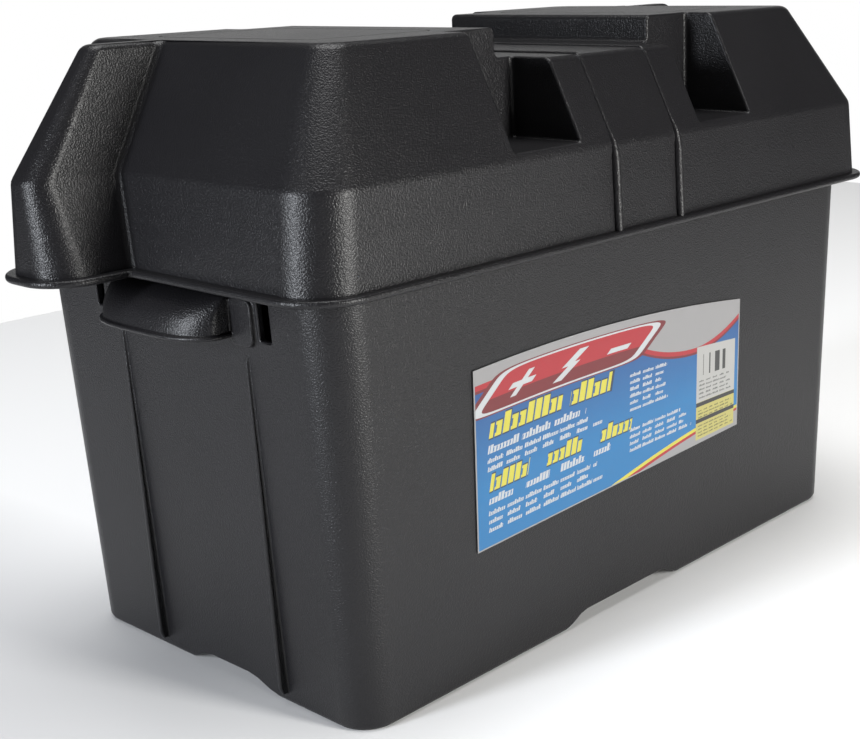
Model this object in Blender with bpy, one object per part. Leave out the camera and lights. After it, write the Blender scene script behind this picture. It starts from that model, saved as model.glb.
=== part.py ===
"""A vented battery box with a deep cycle battery, divider and hold-down kit inside.

Metres, +Z up. The origin is on the ground under the middle of the box; X runs along
its length and Y across it.
"""

import math

import bmesh
import bpy
from mathutils import Matrix, Vector

# ---------------------------------------------------------------- driving dimensions
GAP = 0.0003                 # clearance kept where two separate pieces meet
WALL = 0.003                 # moulded wall of the tub and the lid
ARC_STEPS = 9                # flats in each rounded vertical corner

TUB_FOOT_HALF = (0.1745, 0.0955)
TUB_RIM_HALF = (0.1835, 0.0997)
TUB_HEIGHT = 0.216
TUB_FOOT_RADIUS = 0.015
TUB_RIM_RADIUS = 0.020
FLOOR_Z = 0.0093             # raised floor over the underside channels
FOOT_FLOOR_Z = 0.003         # floor inside the four feet
CHANNEL_DEPTH = 0.0063
CROSS_CHANNEL = (-0.054, -0.036, 0.019, 0.038)      # along Y: foot, flat, flat, foot
LONG_CHANNEL = (-0.046, -0.021, 0.0045, 0.024)      # along X: foot, flat, flat, foot

LID_SKIRT_Z = 0.180
LID_CREASE_Z = 0.220
LID_TOP_Z = 0.270
LID_SKIRT_HALF = (0.192, 0.106)
LID_CREASE_HALF = (0.1885, 0.1045)
LID_TOP_HALF = (0.158, 0.0797)
LID_RADIUS = 0.020
LID_TOP_RADIUS = 0.011
FLANGE_REACH = 0.004
FLANGE_DEPTH = 0.003
SADDLE_HALF = 0.0525
SADDLE_Z = 0.2575
SADDLE_EDGE = 0.005
POCKET_X = (0.0425, 0.0835)
POCKET_BACK_Y = 0.065
POCKET_FLOOR_Z = 0.223
BEAD_X = 0.0225
BEAD_HALF = 0.00225
BEAD_HEIGHT = 0.0018

HOOD_Y = 0.028               # middle of the cable hood on each end of the lid
HOOD_HALF = (0.0205, 0.0115, 0.006)                 # at the skirt, the crease and the top
HOOD_X = (0.227, 0.2265, 0.190)
HOOD_RADIUS = (0.016, 0.010, 0.005)
HOOD_ROOT_X = 0.150

GRIP_Y = -0.005
GRIP_HALF = 0.037
GRIP_REACH = 0.020
GRIP_TOP_Z = 0.177
GRIP_LIP_Z = 0.160
GRIP_WALL = 0.0032
GRIP_STATIONS = 12
GRIP_BEAD_OUT = 0.0013
GRIP_BEAD_RISE = 0.0018
END_PAD_OFFSET = 0.043
END_PAD_HALF = (0.007, 0.0095)
END_PAD_Z = 0.1665
END_RIB_OFFSET = 0.0425
END_SLOT_OFFSET = 0.0555
END_SLOT_HALF = 0.0035
END_SLOT_Z = (0.160, 0.200)

LABEL_X = (-0.1085, 0.0830)
LABEL_BOTTOM_Z = (0.0586, 0.0656)                   # left end, right end
LABEL_TOP_Z = (0.1381, 0.1314)
LABEL_BOW = 0.0045

DIVIDER_X = (0.092, 0.115, 0.138)                   # the three pairs of guide ribs
DIVIDER_THICK = 0.003
DIVIDER_TOP_Z = 0.130
GUIDE_FACE_Y = 0.0882

BATTERY_X = -0.0400
BATTERY_HALF = (0.130, 0.0865)                      # base ledge and cover
CASE_HALF = (0.126, 0.0845)
BATTERY_Z = FLOOR_Z + GAP
CASE_TOP_Z = 0.187
COVER_TOP_Z = 0.2035
CASE_WALL = 0.003
PARTITION = 0.002
CELLS = 6
CELL_STEP = (2 * (CASE_HALF[0] - CASE_WALL) + PARTITION) / CELLS
PLATE_STEP = 0.0042
PLATE_THICK = 0.0024
SEPARATOR_THICK = 0.0010
PLATE_HALF_Y = 0.077
PLATE_Z = (0.024, 0.158)
BAR_Z = (0.163, 0.169)
BAR_Y = (0.040, 0.060)                              # the cast bar that joins like plates
LUG_HALF = 0.006
PORT_Y = -0.022
PORT_RADIUS = 0.0100
LINK_RADIUS = 0.0025

TERMINAL_Y = 0.050
STUD_Y = 0.024
PAD_HALF = 0.011
PAD_TOP_Z = 0.2095
POST_RADIUS = 0.0088
POST_TOP_Z = 0.2265
STUD_RADIUS = 0.004
STUD_TOP_Z = 0.2335

ROLL_CENTRE = (0.133, -0.012)
ROLL_RADIUS = 0.0225
STRAP_WIDTH = 0.038
STRAP_THICK = 0.0016
BUCKLE_Y = (0.018, 0.058)
BUCKLE_HALF_X = 0.0045
BUCKLE_SIDE = 0.0045
PIN_Y = 0.030
PIN_RADIUS = 0.0015

BRACKET_LENGTH = 0.046
BRACKET_THICK = 0.002
BRACKET_X = 0.106


# ---------------------------------------------------------------- mesh helpers
def clear_scene():
    """Remove whatever the scene holds."""
    for thing in list(bpy.data.objects):
        bpy.data.objects.remove(thing, do_unlink=True)


def outline(half, radius, centre=(0.0, 0.0), steps=ARC_STEPS):
    """Points of a rounded rectangle, anticlockwise, with flats in each corner."""
    points = []
    for quarter, (sign_x, sign_y) in enumerate(((1, 1), (-1, 1), (-1, -1), (1, -1))):
        for step in range(steps + 1):
            angle = math.radians(90 * (quarter + step / steps))
            x = centre[0] + sign_x * (half[0] - radius) + radius * math.cos(angle)
            y = centre[1] + sign_y * (half[1] - radius) + radius * math.sin(angle)
            points.append((x, y))
    return points


def object_from(bm, name):
    """Turn a bmesh into a linked object whose faces point outwards."""
    bmesh.ops.recalc_face_normals(bm, faces=bm.faces)
    mesh = bpy.data.meshes.new(name)
    bm.to_mesh(mesh)
    bm.free()
    thing = bpy.data.objects.new(name, mesh)
    bpy.context.collection.objects.link(thing)
    return thing


def loft(name, rings):
    """Closed solid through rings of equal point counts, capped at both ends."""
    bm = bmesh.new()
    loops = [[bm.verts.new(point) for point in ring] for ring in rings]
    count = len(loops[0])
    for lower, upper in zip(loops, loops[1:]):
        for i in range(count):
            j = (i + 1) % count
            bm.faces.new((lower[i], lower[j], upper[j], upper[i]))
    bm.faces.new(list(reversed(loops[0])))
    bm.faces.new(loops[-1])
    return object_from(bm, name)


def at_height(points, z):
    """Lift flat outline points to a height."""
    return [(x, y, z) for x, y in points]


def prism(name, points, axis, low, high):
    """Extrude a flat outline along an axis; the outline holds the other two, in order."""
    def place(point, along):
        place_on = {"X": (along, point[0], point[1]),
                    "Y": (point[0], along, point[1]),
                    "Z": (point[0], point[1], along)}
        return place_on[axis]
    return loft(name, [[place(p, low) for p in points], [place(p, high) for p in points]])


def block(name, low, high):
    """Plain box between two corners."""
    points = ((low[0], low[1]), (high[0], low[1]), (high[0], high[1]), (low[0], high[1]))
    return prism(name, points, "Z", low[2], high[2])


def circle(radius, centre=(0.0, 0.0), segments=16):
    """Points of a regular polygon that stands for a circle."""
    turn = 2 * math.pi / segments
    return [(centre[0] + radius * math.cos(turn * i), centre[1] + radius * math.sin(turn * i))
            for i in range(segments)]


def rod(name, radius, centre, low, high, axis="Z", segments=16):
    """Straight round bar along an axis."""
    return prism(name, circle(radius, centre, segments), axis, low, high)


def combine(target, tool, operation):
    """Apply a Boolean to the target and remove the tool."""
    modifier = target.modifiers.new("combine", "BOOLEAN")
    modifier.operation = operation
    modifier.object = tool
    bpy.context.view_layer.update()
    graph = bpy.context.evaluated_depsgraph_get()
    mesh = bpy.data.meshes.new_from_object(target.evaluated_get(graph))
    target.modifiers.clear()
    old = target.data
    target.data = mesh
    bpy.data.meshes.remove(old)
    bpy.data.objects.remove(tool, do_unlink=True)
    return target


def cut(target, *tools):
    """Take each tool away from the target."""
    for tool in tools:
        combine(target, tool, "DIFFERENCE")
    return target


def join(target, *tools):
    """Melt each tool into the target as one solid."""
    for tool in tools:
        combine(target, tool, "UNION")
    return target


def mirror_x(thing, name):
    """Mirrored copy across the middle of the box."""
    bm = bmesh.new()
    bm.from_mesh(thing.data)
    bmesh.ops.scale(bm, vec=(-1, 1, 1), verts=bm.verts)
    return object_from(bm, name)


def pivot_at(thing, point):
    """Move an object's origin onto its joint axis and leave its shape where it is."""
    thing.data.transform(Matrix.Translation(-Vector(point)))
    thing.location = point
    return thing


def finish(thing, name, colour, roughness, metallic=0.0):
    """Name a piece, shade it and give it its own material."""
    thing.name = name
    thing.data.name = name
    thing.data.shade_smooth()
    thing.data.set_sharp_from_angle(angle=math.radians(30))
    material = bpy.data.materials.new(name)
    material.use_nodes = True
    shader = material.node_tree.nodes["Principled BSDF"]
    shader.inputs["Base Color"].default_value = (*colour, 1.0)
    shader.inputs["Roughness"].default_value = roughness
    shader.inputs["Metallic"].default_value = metallic
    thing.data.materials.clear()
    thing.data.materials.append(material)
    return thing


BLACK_PLASTIC = ((0.030, 0.029, 0.031), 0.55)
CASE_PLASTIC = ((0.060, 0.060, 0.065), 0.45)
COVER_PLASTIC = ((0.12, 0.12, 0.13), 0.45)
LEAD = ((0.33, 0.34, 0.36), 0.55, 0.9)
STEEL = ((0.62, 0.62, 0.60), 0.30, 1.0)


# ---------------------------------------------------------------- tub
def tub_half(z):
    """Outer half length and half width of the tub at a height."""
    share = z / TUB_HEIGHT
    return tuple(foot + (rim - foot) * share for foot, rim in zip(TUB_FOOT_HALF, TUB_RIM_HALF))


def tub_ring(z, inset, steps=ARC_STEPS):
    """Ring of the tub's drafted wall, moved inwards by an inset."""
    half = tub_half(z)
    share = z / TUB_HEIGHT
    radius = TUB_FOOT_RADIUS + (TUB_RIM_RADIUS - TUB_FOOT_RADIUS) * share
    size = (half[0] - inset, half[1] - inset)
    return at_height(outline(size, max(radius - inset, 0.004), steps=steps), z)


def channel_outline(stations):
    """Section of an underside channel with eased shoulders, opened below the ground."""
    foot_low, flat_low, flat_high, foot_high = stations
    steps = 4
    points = [(foot_low - 0.002, -0.01)]
    for i in range(steps + 1):
        rise = 0.5 - 0.5 * math.cos(math.pi * i / steps)
        points.append((foot_low + (flat_low - foot_low) * i / steps, CHANNEL_DEPTH * rise))
    for i in range(steps + 1):
        rise = 0.5 + 0.5 * math.cos(math.pi * i / steps)
        points.append((flat_high + (foot_high - flat_high) * i / steps, CHANNEL_DEPTH * rise))
    points.append((foot_high + 0.002, -0.01))
    return [(along, max(z, -0.01) if z > 0 else z - 0.0001) for along, z in points]


def grip_place(i, shrink):
    """Place along Y and share of the full reach at one station of the grip."""
    share = math.sin(math.radians(90 * (2 * i / GRIP_STATIONS - 1)))
    swell = (1 - (0.94 * abs(share)) ** 4) ** 0.5
    return GRIP_Y + share * (GRIP_HALF - shrink), swell


def grip_bead():
    """Thin bead round the lower edge of the left hand grip."""
    wall_x = tub_half(GRIP_LIP_Z)[0]
    ends = (GRIP_HALF + GRIP_BEAD_OUT, -GRIP_HALF - GRIP_BEAD_OUT)
    points = [(-wall_x + 0.0014, GRIP_Y + end) for end in ends]
    for i in range(GRIP_STATIONS + 1):
        y, swell = grip_place(i, -GRIP_BEAD_OUT)
        points.append((-wall_x - (GRIP_REACH + GRIP_BEAD_OUT) * swell, y))
    return loft("bead", [at_height(points, GRIP_LIP_Z), at_height(points, GRIP_LIP_Z + GRIP_BEAD_RISE)])


def grip(inside):
    """Solid of the left hand grip, or of the finger space under it."""
    wall_x = tub_half(GRIP_LIP_Z)[0]
    thin = GRIP_WALL if inside else 0.0
    root = wall_x - (0.0002 if inside else 0.0015)
    low = GRIP_LIP_Z - (0.005 if inside else 0.0)
    arc = 8
    rings = []
    for i in range(GRIP_STATIONS + 1):
        y, swell = grip_place(i, thin)
        reach = (GRIP_REACH - thin) * swell
        height = GRIP_TOP_Z - thin - GRIP_LIP_Z
        ring = [(-root, y, GRIP_LIP_Z + height)]
        for step in range(1, arc + 1):
            angle = math.radians(90 * step / arc)
            x = wall_x + reach * math.sin(angle) ** 0.85
            ring.append((-x, y, GRIP_LIP_Z + height * math.cos(angle) ** 0.9))
        ring[-1] = (ring[-1][0], y, low)
        ring.append((-root, y, low))
        rings.append(ring)
    return loft("grip", rings)


def end_details():
    """What is moulded on the left end wall: the grip, two pads and two ribs."""
    parts = [cut(join(grip(False), grip_bead()), grip(True))]
    for side in (-1, 1):
        pad_y = GRIP_Y + side * END_PAD_OFFSET
        wall = tub_half(END_PAD_Z)[0]
        pad = outline(END_PAD_HALF, 0.003, centre=(pad_y, END_PAD_Z), steps=2)
        parts.append(prism("pad", pad, "X", -wall - 0.002, -wall + 0.0015))
        rib_y = GRIP_Y + side * END_RIB_OFFSET
        foot = tub_half(0.0)[0]
        profile = ((-foot + 0.0015, 0.0055), (-foot - 0.0030, 0.0055), (-foot - 0.0043, 0.0090),
                   (-foot - 0.0072, 0.1500), (-foot - 0.0062, 0.1550), (-foot - 0.0050, 0.1550))
        parts.append(prism("rib", profile, "Y", rib_y - 0.001, rib_y + 0.001))
    return parts


def make_tub():
    """Drafted open tub with feet, underside channels, grips, end ribs and guide ribs."""
    tub = loft("tub", [tub_ring(0.0, 0.0025), tub_ring(0.0008, 0.0008), tub_ring(0.0028, 0.0),
                       tub_ring(TUB_HEIGHT, 0.0)])
    for left in end_details():
        right = mirror_x(left, "right")
        join(tub, left, right)
    cavity = loft("cavity", [tub_ring(FLOOR_Z, WALL + 0.0012), tub_ring(FLOOR_Z + 0.0004, WALL + 0.0004),
                             tub_ring(FLOOR_Z + 0.0012, WALL), tub_ring(TUB_HEIGHT + 0.01, WALL)])
    for centre in DIVIDER_X:
        for side in (-1, 1):
            middle = centre + side * (DIVIDER_THICK / 2 + 0.0006 + 0.00125)
            for end in (-1, 1):
                y_low, y_high = sorted((end * GUIDE_FACE_Y, end * 0.110))
                guide = block("guide", (middle - 0.00125, y_low, 0.0), (middle + 0.00125, y_high, 0.150))
                cut(cavity, guide)
    cut(tub, cavity)
    for x_foot, x_flat, x_end in ((CROSS_CHANNEL[0] - 0.002, CROSS_CHANNEL[1] - 0.002, -0.1685),
                                  (CROSS_CHANNEL[3] + 0.002, CROSS_CHANNEL[2] + 0.002, 0.1685)):
        for y_foot, y_flat, y_end in ((LONG_CHANNEL[0] - 0.002, LONG_CHANNEL[1] - 0.002, -0.0895),
                                      (LONG_CHANNEL[3] + 0.002, LONG_CHANNEL[2] + 0.002, 0.0895)):
            low_half = (abs(x_end - x_foot) / 2, abs(y_end - y_foot) / 2)
            low_centre = ((x_end + x_foot) / 2, (y_end + y_foot) / 2)
            high_half = (abs(x_end - x_flat) / 2, abs(y_end - y_flat) / 2)
            high_centre = ((x_end + x_flat) / 2, (y_end + y_flat) / 2)
            well = loft("well", [
                at_height(outline(low_half, 0.008, low_centre, 3), FOOT_FLOOR_Z),
                at_height(outline(high_half, 0.008, high_centre, 3), FLOOR_Z + 0.0006)])
            cut(tub, well)
    cut(tub,
        prism("cross", channel_outline(CROSS_CHANNEL), "Y", -0.15, 0.15),
        prism("long", channel_outline(LONG_CHANNEL), "X", -0.25, 0.25))
    for end in (-1, 1):
        for side in (-1, 1):
            slot_y = GRIP_Y + side * END_SLOT_OFFSET
            x_low, x_high = sorted((end * 0.170, end * 0.200))
            cut(tub, block("slot", (x_low, slot_y - END_SLOT_HALF, END_SLOT_Z[0]),
                           (x_high, slot_y + END_SLOT_HALF, END_SLOT_Z[1])))
    finish(tub, "tub", *BLACK_PLASTIC)


# ---------------------------------------------------------------- lid
def lid_body(inset):
    """Tapered body of the lid: its outside, or its inside where an inset is given."""
    def ring(half, radius, z):
        return at_height(outline(half, radius), z)
    if inset == 0.0:
        edge = 0.0035
        return loft("lid_body", [
            ring(LID_SKIRT_HALF, LID_RADIUS, LID_SKIRT_Z),
            ring(LID_CREASE_HALF, LID_RADIUS, LID_CREASE_Z - 0.001),
            ring((LID_CREASE_HALF[0] - 0.0012, LID_CREASE_HALF[1] - 0.001), LID_RADIUS,
                 LID_CREASE_Z + 0.002),
            ring((LID_TOP_HALF[0] + 0.0018, LID_TOP_HALF[1] + 0.0015), LID_TOP_RADIUS,
                 LID_TOP_Z - edge),
            ring((LID_TOP_HALF[0] - 0.0005, LID_TOP_HALF[1] - 0.0005), LID_TOP_RADIUS,
                 LID_TOP_Z - 0.0008),
            ring((LID_TOP_HALF[0] - 0.003, LID_TOP_HALF[1] - 0.003), LID_TOP_RADIUS - 0.002,
                 LID_TOP_Z)])
    top_half = []
    crease_half = []
    for crease, top in zip(LID_CREASE_HALF, LID_TOP_HALF):
        run = crease - top
        rise = LID_TOP_Z - LID_CREASE_Z
        slant = inset * math.hypot(run, rise) / rise
        crease_half.append(crease - slant + run / rise * 0.001)
        top_half.append(top - slant + run / rise * inset)
    return loft("lid_inside", [
        ring((LID_SKIRT_HALF[0] - inset, LID_SKIRT_HALF[1] - inset), LID_RADIUS - inset,
             LID_SKIRT_Z - 0.005),
        ring(crease_half, LID_RADIUS - inset, LID_CREASE_Z - 0.001),
        ring(top_half, LID_TOP_RADIUS - inset, LID_TOP_Z - inset)])


def hood(inset, side):
    """Cable hood on one end of the lid: its outside, or its inside where inset."""
    heights = (LID_SKIRT_Z, LID_CREASE_Z, LID_TOP_Z - 0.0004)
    if inset > 0.0:
        heights = (LID_SKIRT_Z - 0.005, LID_CREASE_Z - 0.001, LID_TOP_Z - inset)
    rings = []
    for half, reach, radius, z in zip(HOOD_HALF, HOOD_X, HOOD_RADIUS, heights):
        size = ((reach - inset - HOOD_ROOT_X) / 2, half - inset)
        middle = (reach - inset + HOOD_ROOT_X) / 2
        round_off = min(max(radius - inset, 0.002), size[1] - 0.0005)
        rings.append(at_height(outline(size, round_off, (side * middle, HOOD_Y)), z))
    return loft("hood", rings)


def flange():
    """Thin bead round the bottom of the skirt and of both hoods."""
    half = [size + FLANGE_REACH for size in LID_SKIRT_HALF]
    top = LID_SKIRT_Z + FLANGE_DEPTH
    rim = loft("flange", [
        at_height(outline(half, LID_RADIUS + FLANGE_REACH), LID_SKIRT_Z),
        at_height(outline(half, LID_RADIUS + FLANGE_REACH), top)])
    for side in (-1, 1):
        size = ((HOOD_X[0] + FLANGE_REACH - HOOD_ROOT_X) / 2, HOOD_HALF[0] + FLANGE_REACH)
        middle = (HOOD_X[0] + FLANGE_REACH + HOOD_ROOT_X) / 2
        points = outline(size, HOOD_RADIUS[0] + FLANGE_REACH, (side * middle, HOOD_Y))
        join(rim, loft("hood_flange", [at_height(points, LID_SKIRT_Z), at_height(points, top)]))
    return rim


def saddle_cutter(inset):
    """Channel across the lid for a hold-down strap, with rounded upper edges."""
    half = SADDLE_HALF + inset
    floor = SADDLE_Z - inset
    points = [(-half, floor), (half, floor)]
    if inset == 0.0:
        for step in range(4):
            angle = math.radians(180 - 30 * step)
            points.append((half + SADDLE_EDGE + SADDLE_EDGE * math.cos(angle),
                           LID_TOP_Z - SADDLE_EDGE + SADDLE_EDGE * math.sin(angle)))
        points.append((half + SADDLE_EDGE, LID_TOP_Z + 0.01))
        points += [(-x, z) for x, z in reversed(points[2:])]
    else:
        points += [(half, LID_TOP_Z + 0.01), (-half, LID_TOP_Z + 0.01)]
    return prism("saddle", points, "Y", -0.15, 0.15)


def pocket_cutter(inset, side_x, side_y):
    """Notch in a sloping long side of the lid, beside the saddle."""
    x_low, x_high = sorted((side_x * (POCKET_X[0] - inset), side_x * (POCKET_X[1] + inset)))
    y_low, y_high = sorted((side_y * (POCKET_BACK_Y - inset), side_y * 0.15))
    return block("pocket", (x_low, y_low, POCKET_FLOOR_Z - inset), (x_high, y_high, LID_TOP_Z + 0.02))


def strap_bead(x):
    """Half-round guide bead that runs up the skirt, over the saddle and down again."""
    slope = (LID_CREASE_HALF[1] - LID_TOP_HALF[1]) / (LID_TOP_Z - LID_CREASE_Z)
    edge_y = LID_CREASE_HALF[1] - slope * (SADDLE_Z - LID_CREASE_Z)
    path = [(-LID_SKIRT_HALF[1] + 0.0003, LID_SKIRT_Z + 0.004, -1.0, 0.0),
            (-LID_CREASE_HALF[1], LID_CREASE_Z, -1.0, 0.25),
            (-edge_y, SADDLE_Z, -0.55, 0.95)]
    path += [(-y, z, -out_y, out_z) for y, z, out_y, out_z in reversed(path)]
    section = ((-1.0, -0.0012), (-1.0, 0.0005), (-0.6, 0.0015), (0.0, BEAD_HEIGHT),
               (0.6, 0.0015), (1.0, 0.0005), (1.0, -0.0012))
    rings = []
    for y, z, out_y, out_z in path:
        rings.append([(x + across * BEAD_HALF, y + out_y * up, z + out_z * up)
                      for across, up in section])
    return loft("bead", rings)


def make_lid():
    """Lid shell with saddle, pockets, beads, hoods, flange and rest ribs."""
    lid = lid_body(0.0)
    join(lid, hood(0.0, -1), hood(0.0, 1), flange())
    cut(lid, saddle_cutter(0.0))
    for side_x in (-1, 1):
        for side_y in (-1, 1):
            cut(lid, pocket_cutter(0.0, side_x, side_y))
    join(lid, strap_bead(-BEAD_X), strap_bead(BEAD_X))
    inside = lid_body(WALL)
    cut(inside, saddle_cutter(WALL))
    for side_x in (-1, 1):
        for side_y in (-1, 1):
            cut(inside, pocket_cutter(WALL, side_x, side_y))
    join(inside, hood(WALL, -1), hood(WALL, 1))
    rest_z = TUB_HEIGHT + GAP
    for side in (-1, 1):
        for x in (-0.122, 0.122):
            y_low, y_high = sorted((side * 0.0895, side * 0.112))
            cut(inside, block("rest", (x - 0.00125, y_low, rest_z), (x + 0.00125, y_high, 0.245)))
        for y in (-0.060, -0.015):
            x_low, x_high = sorted((side * 0.1735, side * 0.196))
            cut(inside, block("rest", (x_low, y - 0.00125, rest_z), (x_high, y + 0.00125, 0.245)))
    cut(lid, inside)
    finish(lid, "lid", *BLACK_PLASTIC)
    pivot_at(lid, (0.0, 0.0, LID_SKIRT_Z))


# ---------------------------------------------------------------- label and divider
def make_label():
    """Thin adhesive label on the drafted front wall, with a gently bowed top edge."""
    lean = (TUB_RIM_HALF[1] - TUB_FOOT_HALF[1]) / TUB_HEIGHT
    left, right = LABEL_X
    points = [(left, LABEL_BOTTOM_Z[0]), (right, LABEL_BOTTOM_Z[1])]
    steps = 12
    for i in range(steps + 1):
        share = i / steps
        straight = LABEL_TOP_Z[1] + (LABEL_TOP_Z[0] - LABEL_TOP_Z[1]) * share
        bow = 4 * LABEL_BOW * share * (1 - share)
        points.append((right + (left - right) * share, straight + bow))
    rings = []
    for lift in (GAP, 2 * GAP):
        rings.append([(x, -(TUB_FOOT_HALF[1] + lean * z + lift), z) for x, z in points])
    finish(loft("label", rings), "label", (0.10, 0.35, 0.72), 0.30)


def make_divider():
    """Removable divider plate with a finger hole and two stiffening ribs."""
    x = DIVIDER_X[0]
    low = FLOOR_Z + GAP
    points = ((-0.0880, low), (0.0880, low), (0.0918, low + 0.004), (0.0935, DIVIDER_TOP_Z),
              (-0.0935, DIVIDER_TOP_Z), (-0.0918, low + 0.004))
    plate = prism("divider", points, "X", x - DIVIDER_THICK / 2, x + DIVIDER_THICK / 2)
    for z in (0.040, 0.085):
        rib = block("stiffener", (x + 0.001, -0.080, z - 0.001), (x + 0.0045, 0.080, z + 0.001))
        join(plate, rib)
    hole = outline((0.032, 0.010), 0.0095, centre=(0.0, 0.112), steps=4)
    cut(plate, prism("hole", hole, "X", x - 0.01, x + 0.01))
    finish(plate, "divider", *BLACK_PLASTIC)
    pivot_at(plate, (x, 0.0, low))


# ---------------------------------------------------------------- battery
def cell_x(index):
    """Middle of a cell, counted from the negative end."""
    return BATTERY_X + (index - (CELLS - 1) / 2) * CELL_STEP


def make_battery_case():
    """Case with a base ledge, lifting ledges and six open cells."""
    centre = (BATTERY_X, 0.0)
    lower = BATTERY_Z
    case = loft("case", [
        at_height(outline(BATTERY_HALF, 0.006, centre, 3), lower),
        at_height(outline(BATTERY_HALF, 0.006, centre, 3), lower + 0.008),
        at_height(outline(CASE_HALF, 0.005, centre, 3), lower + 0.011),
        at_height(outline(CASE_HALF, 0.005, centre, 3), CASE_TOP_Z)])
    for end in (-1, 1):
        x_low, x_high = sorted((BATTERY_X + end * (CASE_HALF[0] - 0.001),
                                BATTERY_X + end * (BATTERY_HALF[0] - 0.0005)))
        join(case, block("ledge", (x_low, -0.050, 0.158), (x_high, 0.050, 0.170)))
    for index in range(CELLS):
        half = ((CELL_STEP - PARTITION) / 2, CASE_HALF[1] - CASE_WALL)
        corner = (cell_x(index) - half[0], -half[1], lower + 0.004)
        opposite = (cell_x(index) + half[0], half[1], CASE_TOP_Z + 0.01)
        cut(case, block("cell", corner, opposite))
    for index in range(CELLS - 1):
        wall_x = (cell_x(index) + cell_x(index + 1)) / 2
        y = link_y(index)
        middle_z = (BAR_Z[0] + BAR_Z[1]) / 2
        cut(case, rod("hole", LINK_RADIUS + GAP, (y, middle_z), wall_x - 0.004, wall_x + 0.004, "X", 8))
    finish(case, "battery_case", *CASE_PLASTIC)


def make_battery_cover():
    """Cover with six filling ports, two terminal holes and a raised middle."""
    centre = (BATTERY_X, 0.0)
    lower = CASE_TOP_Z + GAP
    step_z = COVER_TOP_Z - 0.004
    cover = loft("cover", [
        at_height(outline(BATTERY_HALF, 0.007, centre, 3), lower),
        at_height(outline(BATTERY_HALF, 0.007, centre, 3), step_z - 0.001),
        at_height(outline((BATTERY_HALF[0] - 0.001, BATTERY_HALF[1] - 0.001), 0.006, centre, 3), step_z)])
    join(cover, block("deck", (BATTERY_X - 0.124, -0.046, lower + 0.001),
                      (BATTERY_X + 0.124, 0.068, COVER_TOP_Z)))
    hollow = outline((CASE_HALF[0] - CASE_WALL, CASE_HALF[1] - CASE_WALL), 0.004, centre, 3)
    cut(cover, prism("hollow", hollow, "Z", lower - 0.01, step_z - 0.003))
    for index in range(CELLS):
        cut(cover, rod("port", PORT_RADIUS, (cell_x(index), PORT_Y), lower, COVER_TOP_Z + 0.01))
    for index in (0, CELLS - 1):
        cut(cover, rod("bush", POST_RADIUS + GAP, (cell_x(index), TERMINAL_Y), lower, COVER_TOP_Z + 0.01))
    finish(cover, "battery_cover", *COVER_PLASTIC)


def make_vent_cap(name, cells):
    """Bar with three plugs that closes the filling ports of three cells."""
    lower = COVER_TOP_Z + GAP
    middle = sum(cell_x(index) for index in cells) / len(cells)
    half = (CELL_STEP + 0.015, 0.0150)
    bar = loft("cap", [
        at_height(outline(half, 0.007, (middle, PORT_Y), 3), lower),
        at_height(outline(half, 0.007, (middle, PORT_Y), 3), lower + 0.007),
        at_height(outline((half[0] - 0.002, half[1] - 0.002), 0.006, (middle, PORT_Y), 3), lower + 0.010)])
    for index in cells:
        plug = rod("plug", PORT_RADIUS - 0.0005, (cell_x(index), PORT_Y), COVER_TOP_Z - 0.012,
                   lower + 0.002)
        join(bar, plug)
    finish(bar, name, (0.42, 0.05, 0.04), 0.45)
    pivot_at(bar, (middle, PORT_Y, lower))


def link_y(index):
    """Side of the case on which cell index is joined to the next one."""
    side = 1 if positive_side(index) > 0 else -1
    return side * (BAR_Y[0] + BAR_Y[1]) / 2


def positive_side(index):
    """Side of a cell's positive bar; it alternates, so neighbours meet."""
    return -1 if index % 2 == 0 else 1


def plate_comb(name, index, side, offsets, colour):
    """Plates of one polarity with their lugs, cast onto one bar."""
    y_bar = side * (BAR_Y[0] + BAR_Y[1]) / 2
    half_bar = (BAR_Y[1] - BAR_Y[0]) / 2
    span = (max(offsets) + PLATE_STEP * 0.5)
    bar = block(name, (cell_x(index) - span, y_bar - half_bar, BAR_Z[0]),
                (cell_x(index) + span, y_bar + half_bar, BAR_Z[1]))
    for offset in offsets:
        x = cell_x(index) + offset
        points = ((-PLATE_HALF_Y, PLATE_Z[0]), (PLATE_HALF_Y, PLATE_Z[0]), (PLATE_HALF_Y, PLATE_Z[1]),
                  (y_bar + LUG_HALF, PLATE_Z[1]), (y_bar + LUG_HALF, BAR_Z[0] + 0.002),
                  (y_bar - LUG_HALF, BAR_Z[0] + 0.002), (y_bar - LUG_HALF, PLATE_Z[1]),
                  (-PLATE_HALF_Y, PLATE_Z[1]))
        join(bar, prism("plate", points, "X", x - PLATE_THICK / 2, x + PLATE_THICK / 2))
    finish(bar, name, *colour)


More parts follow.
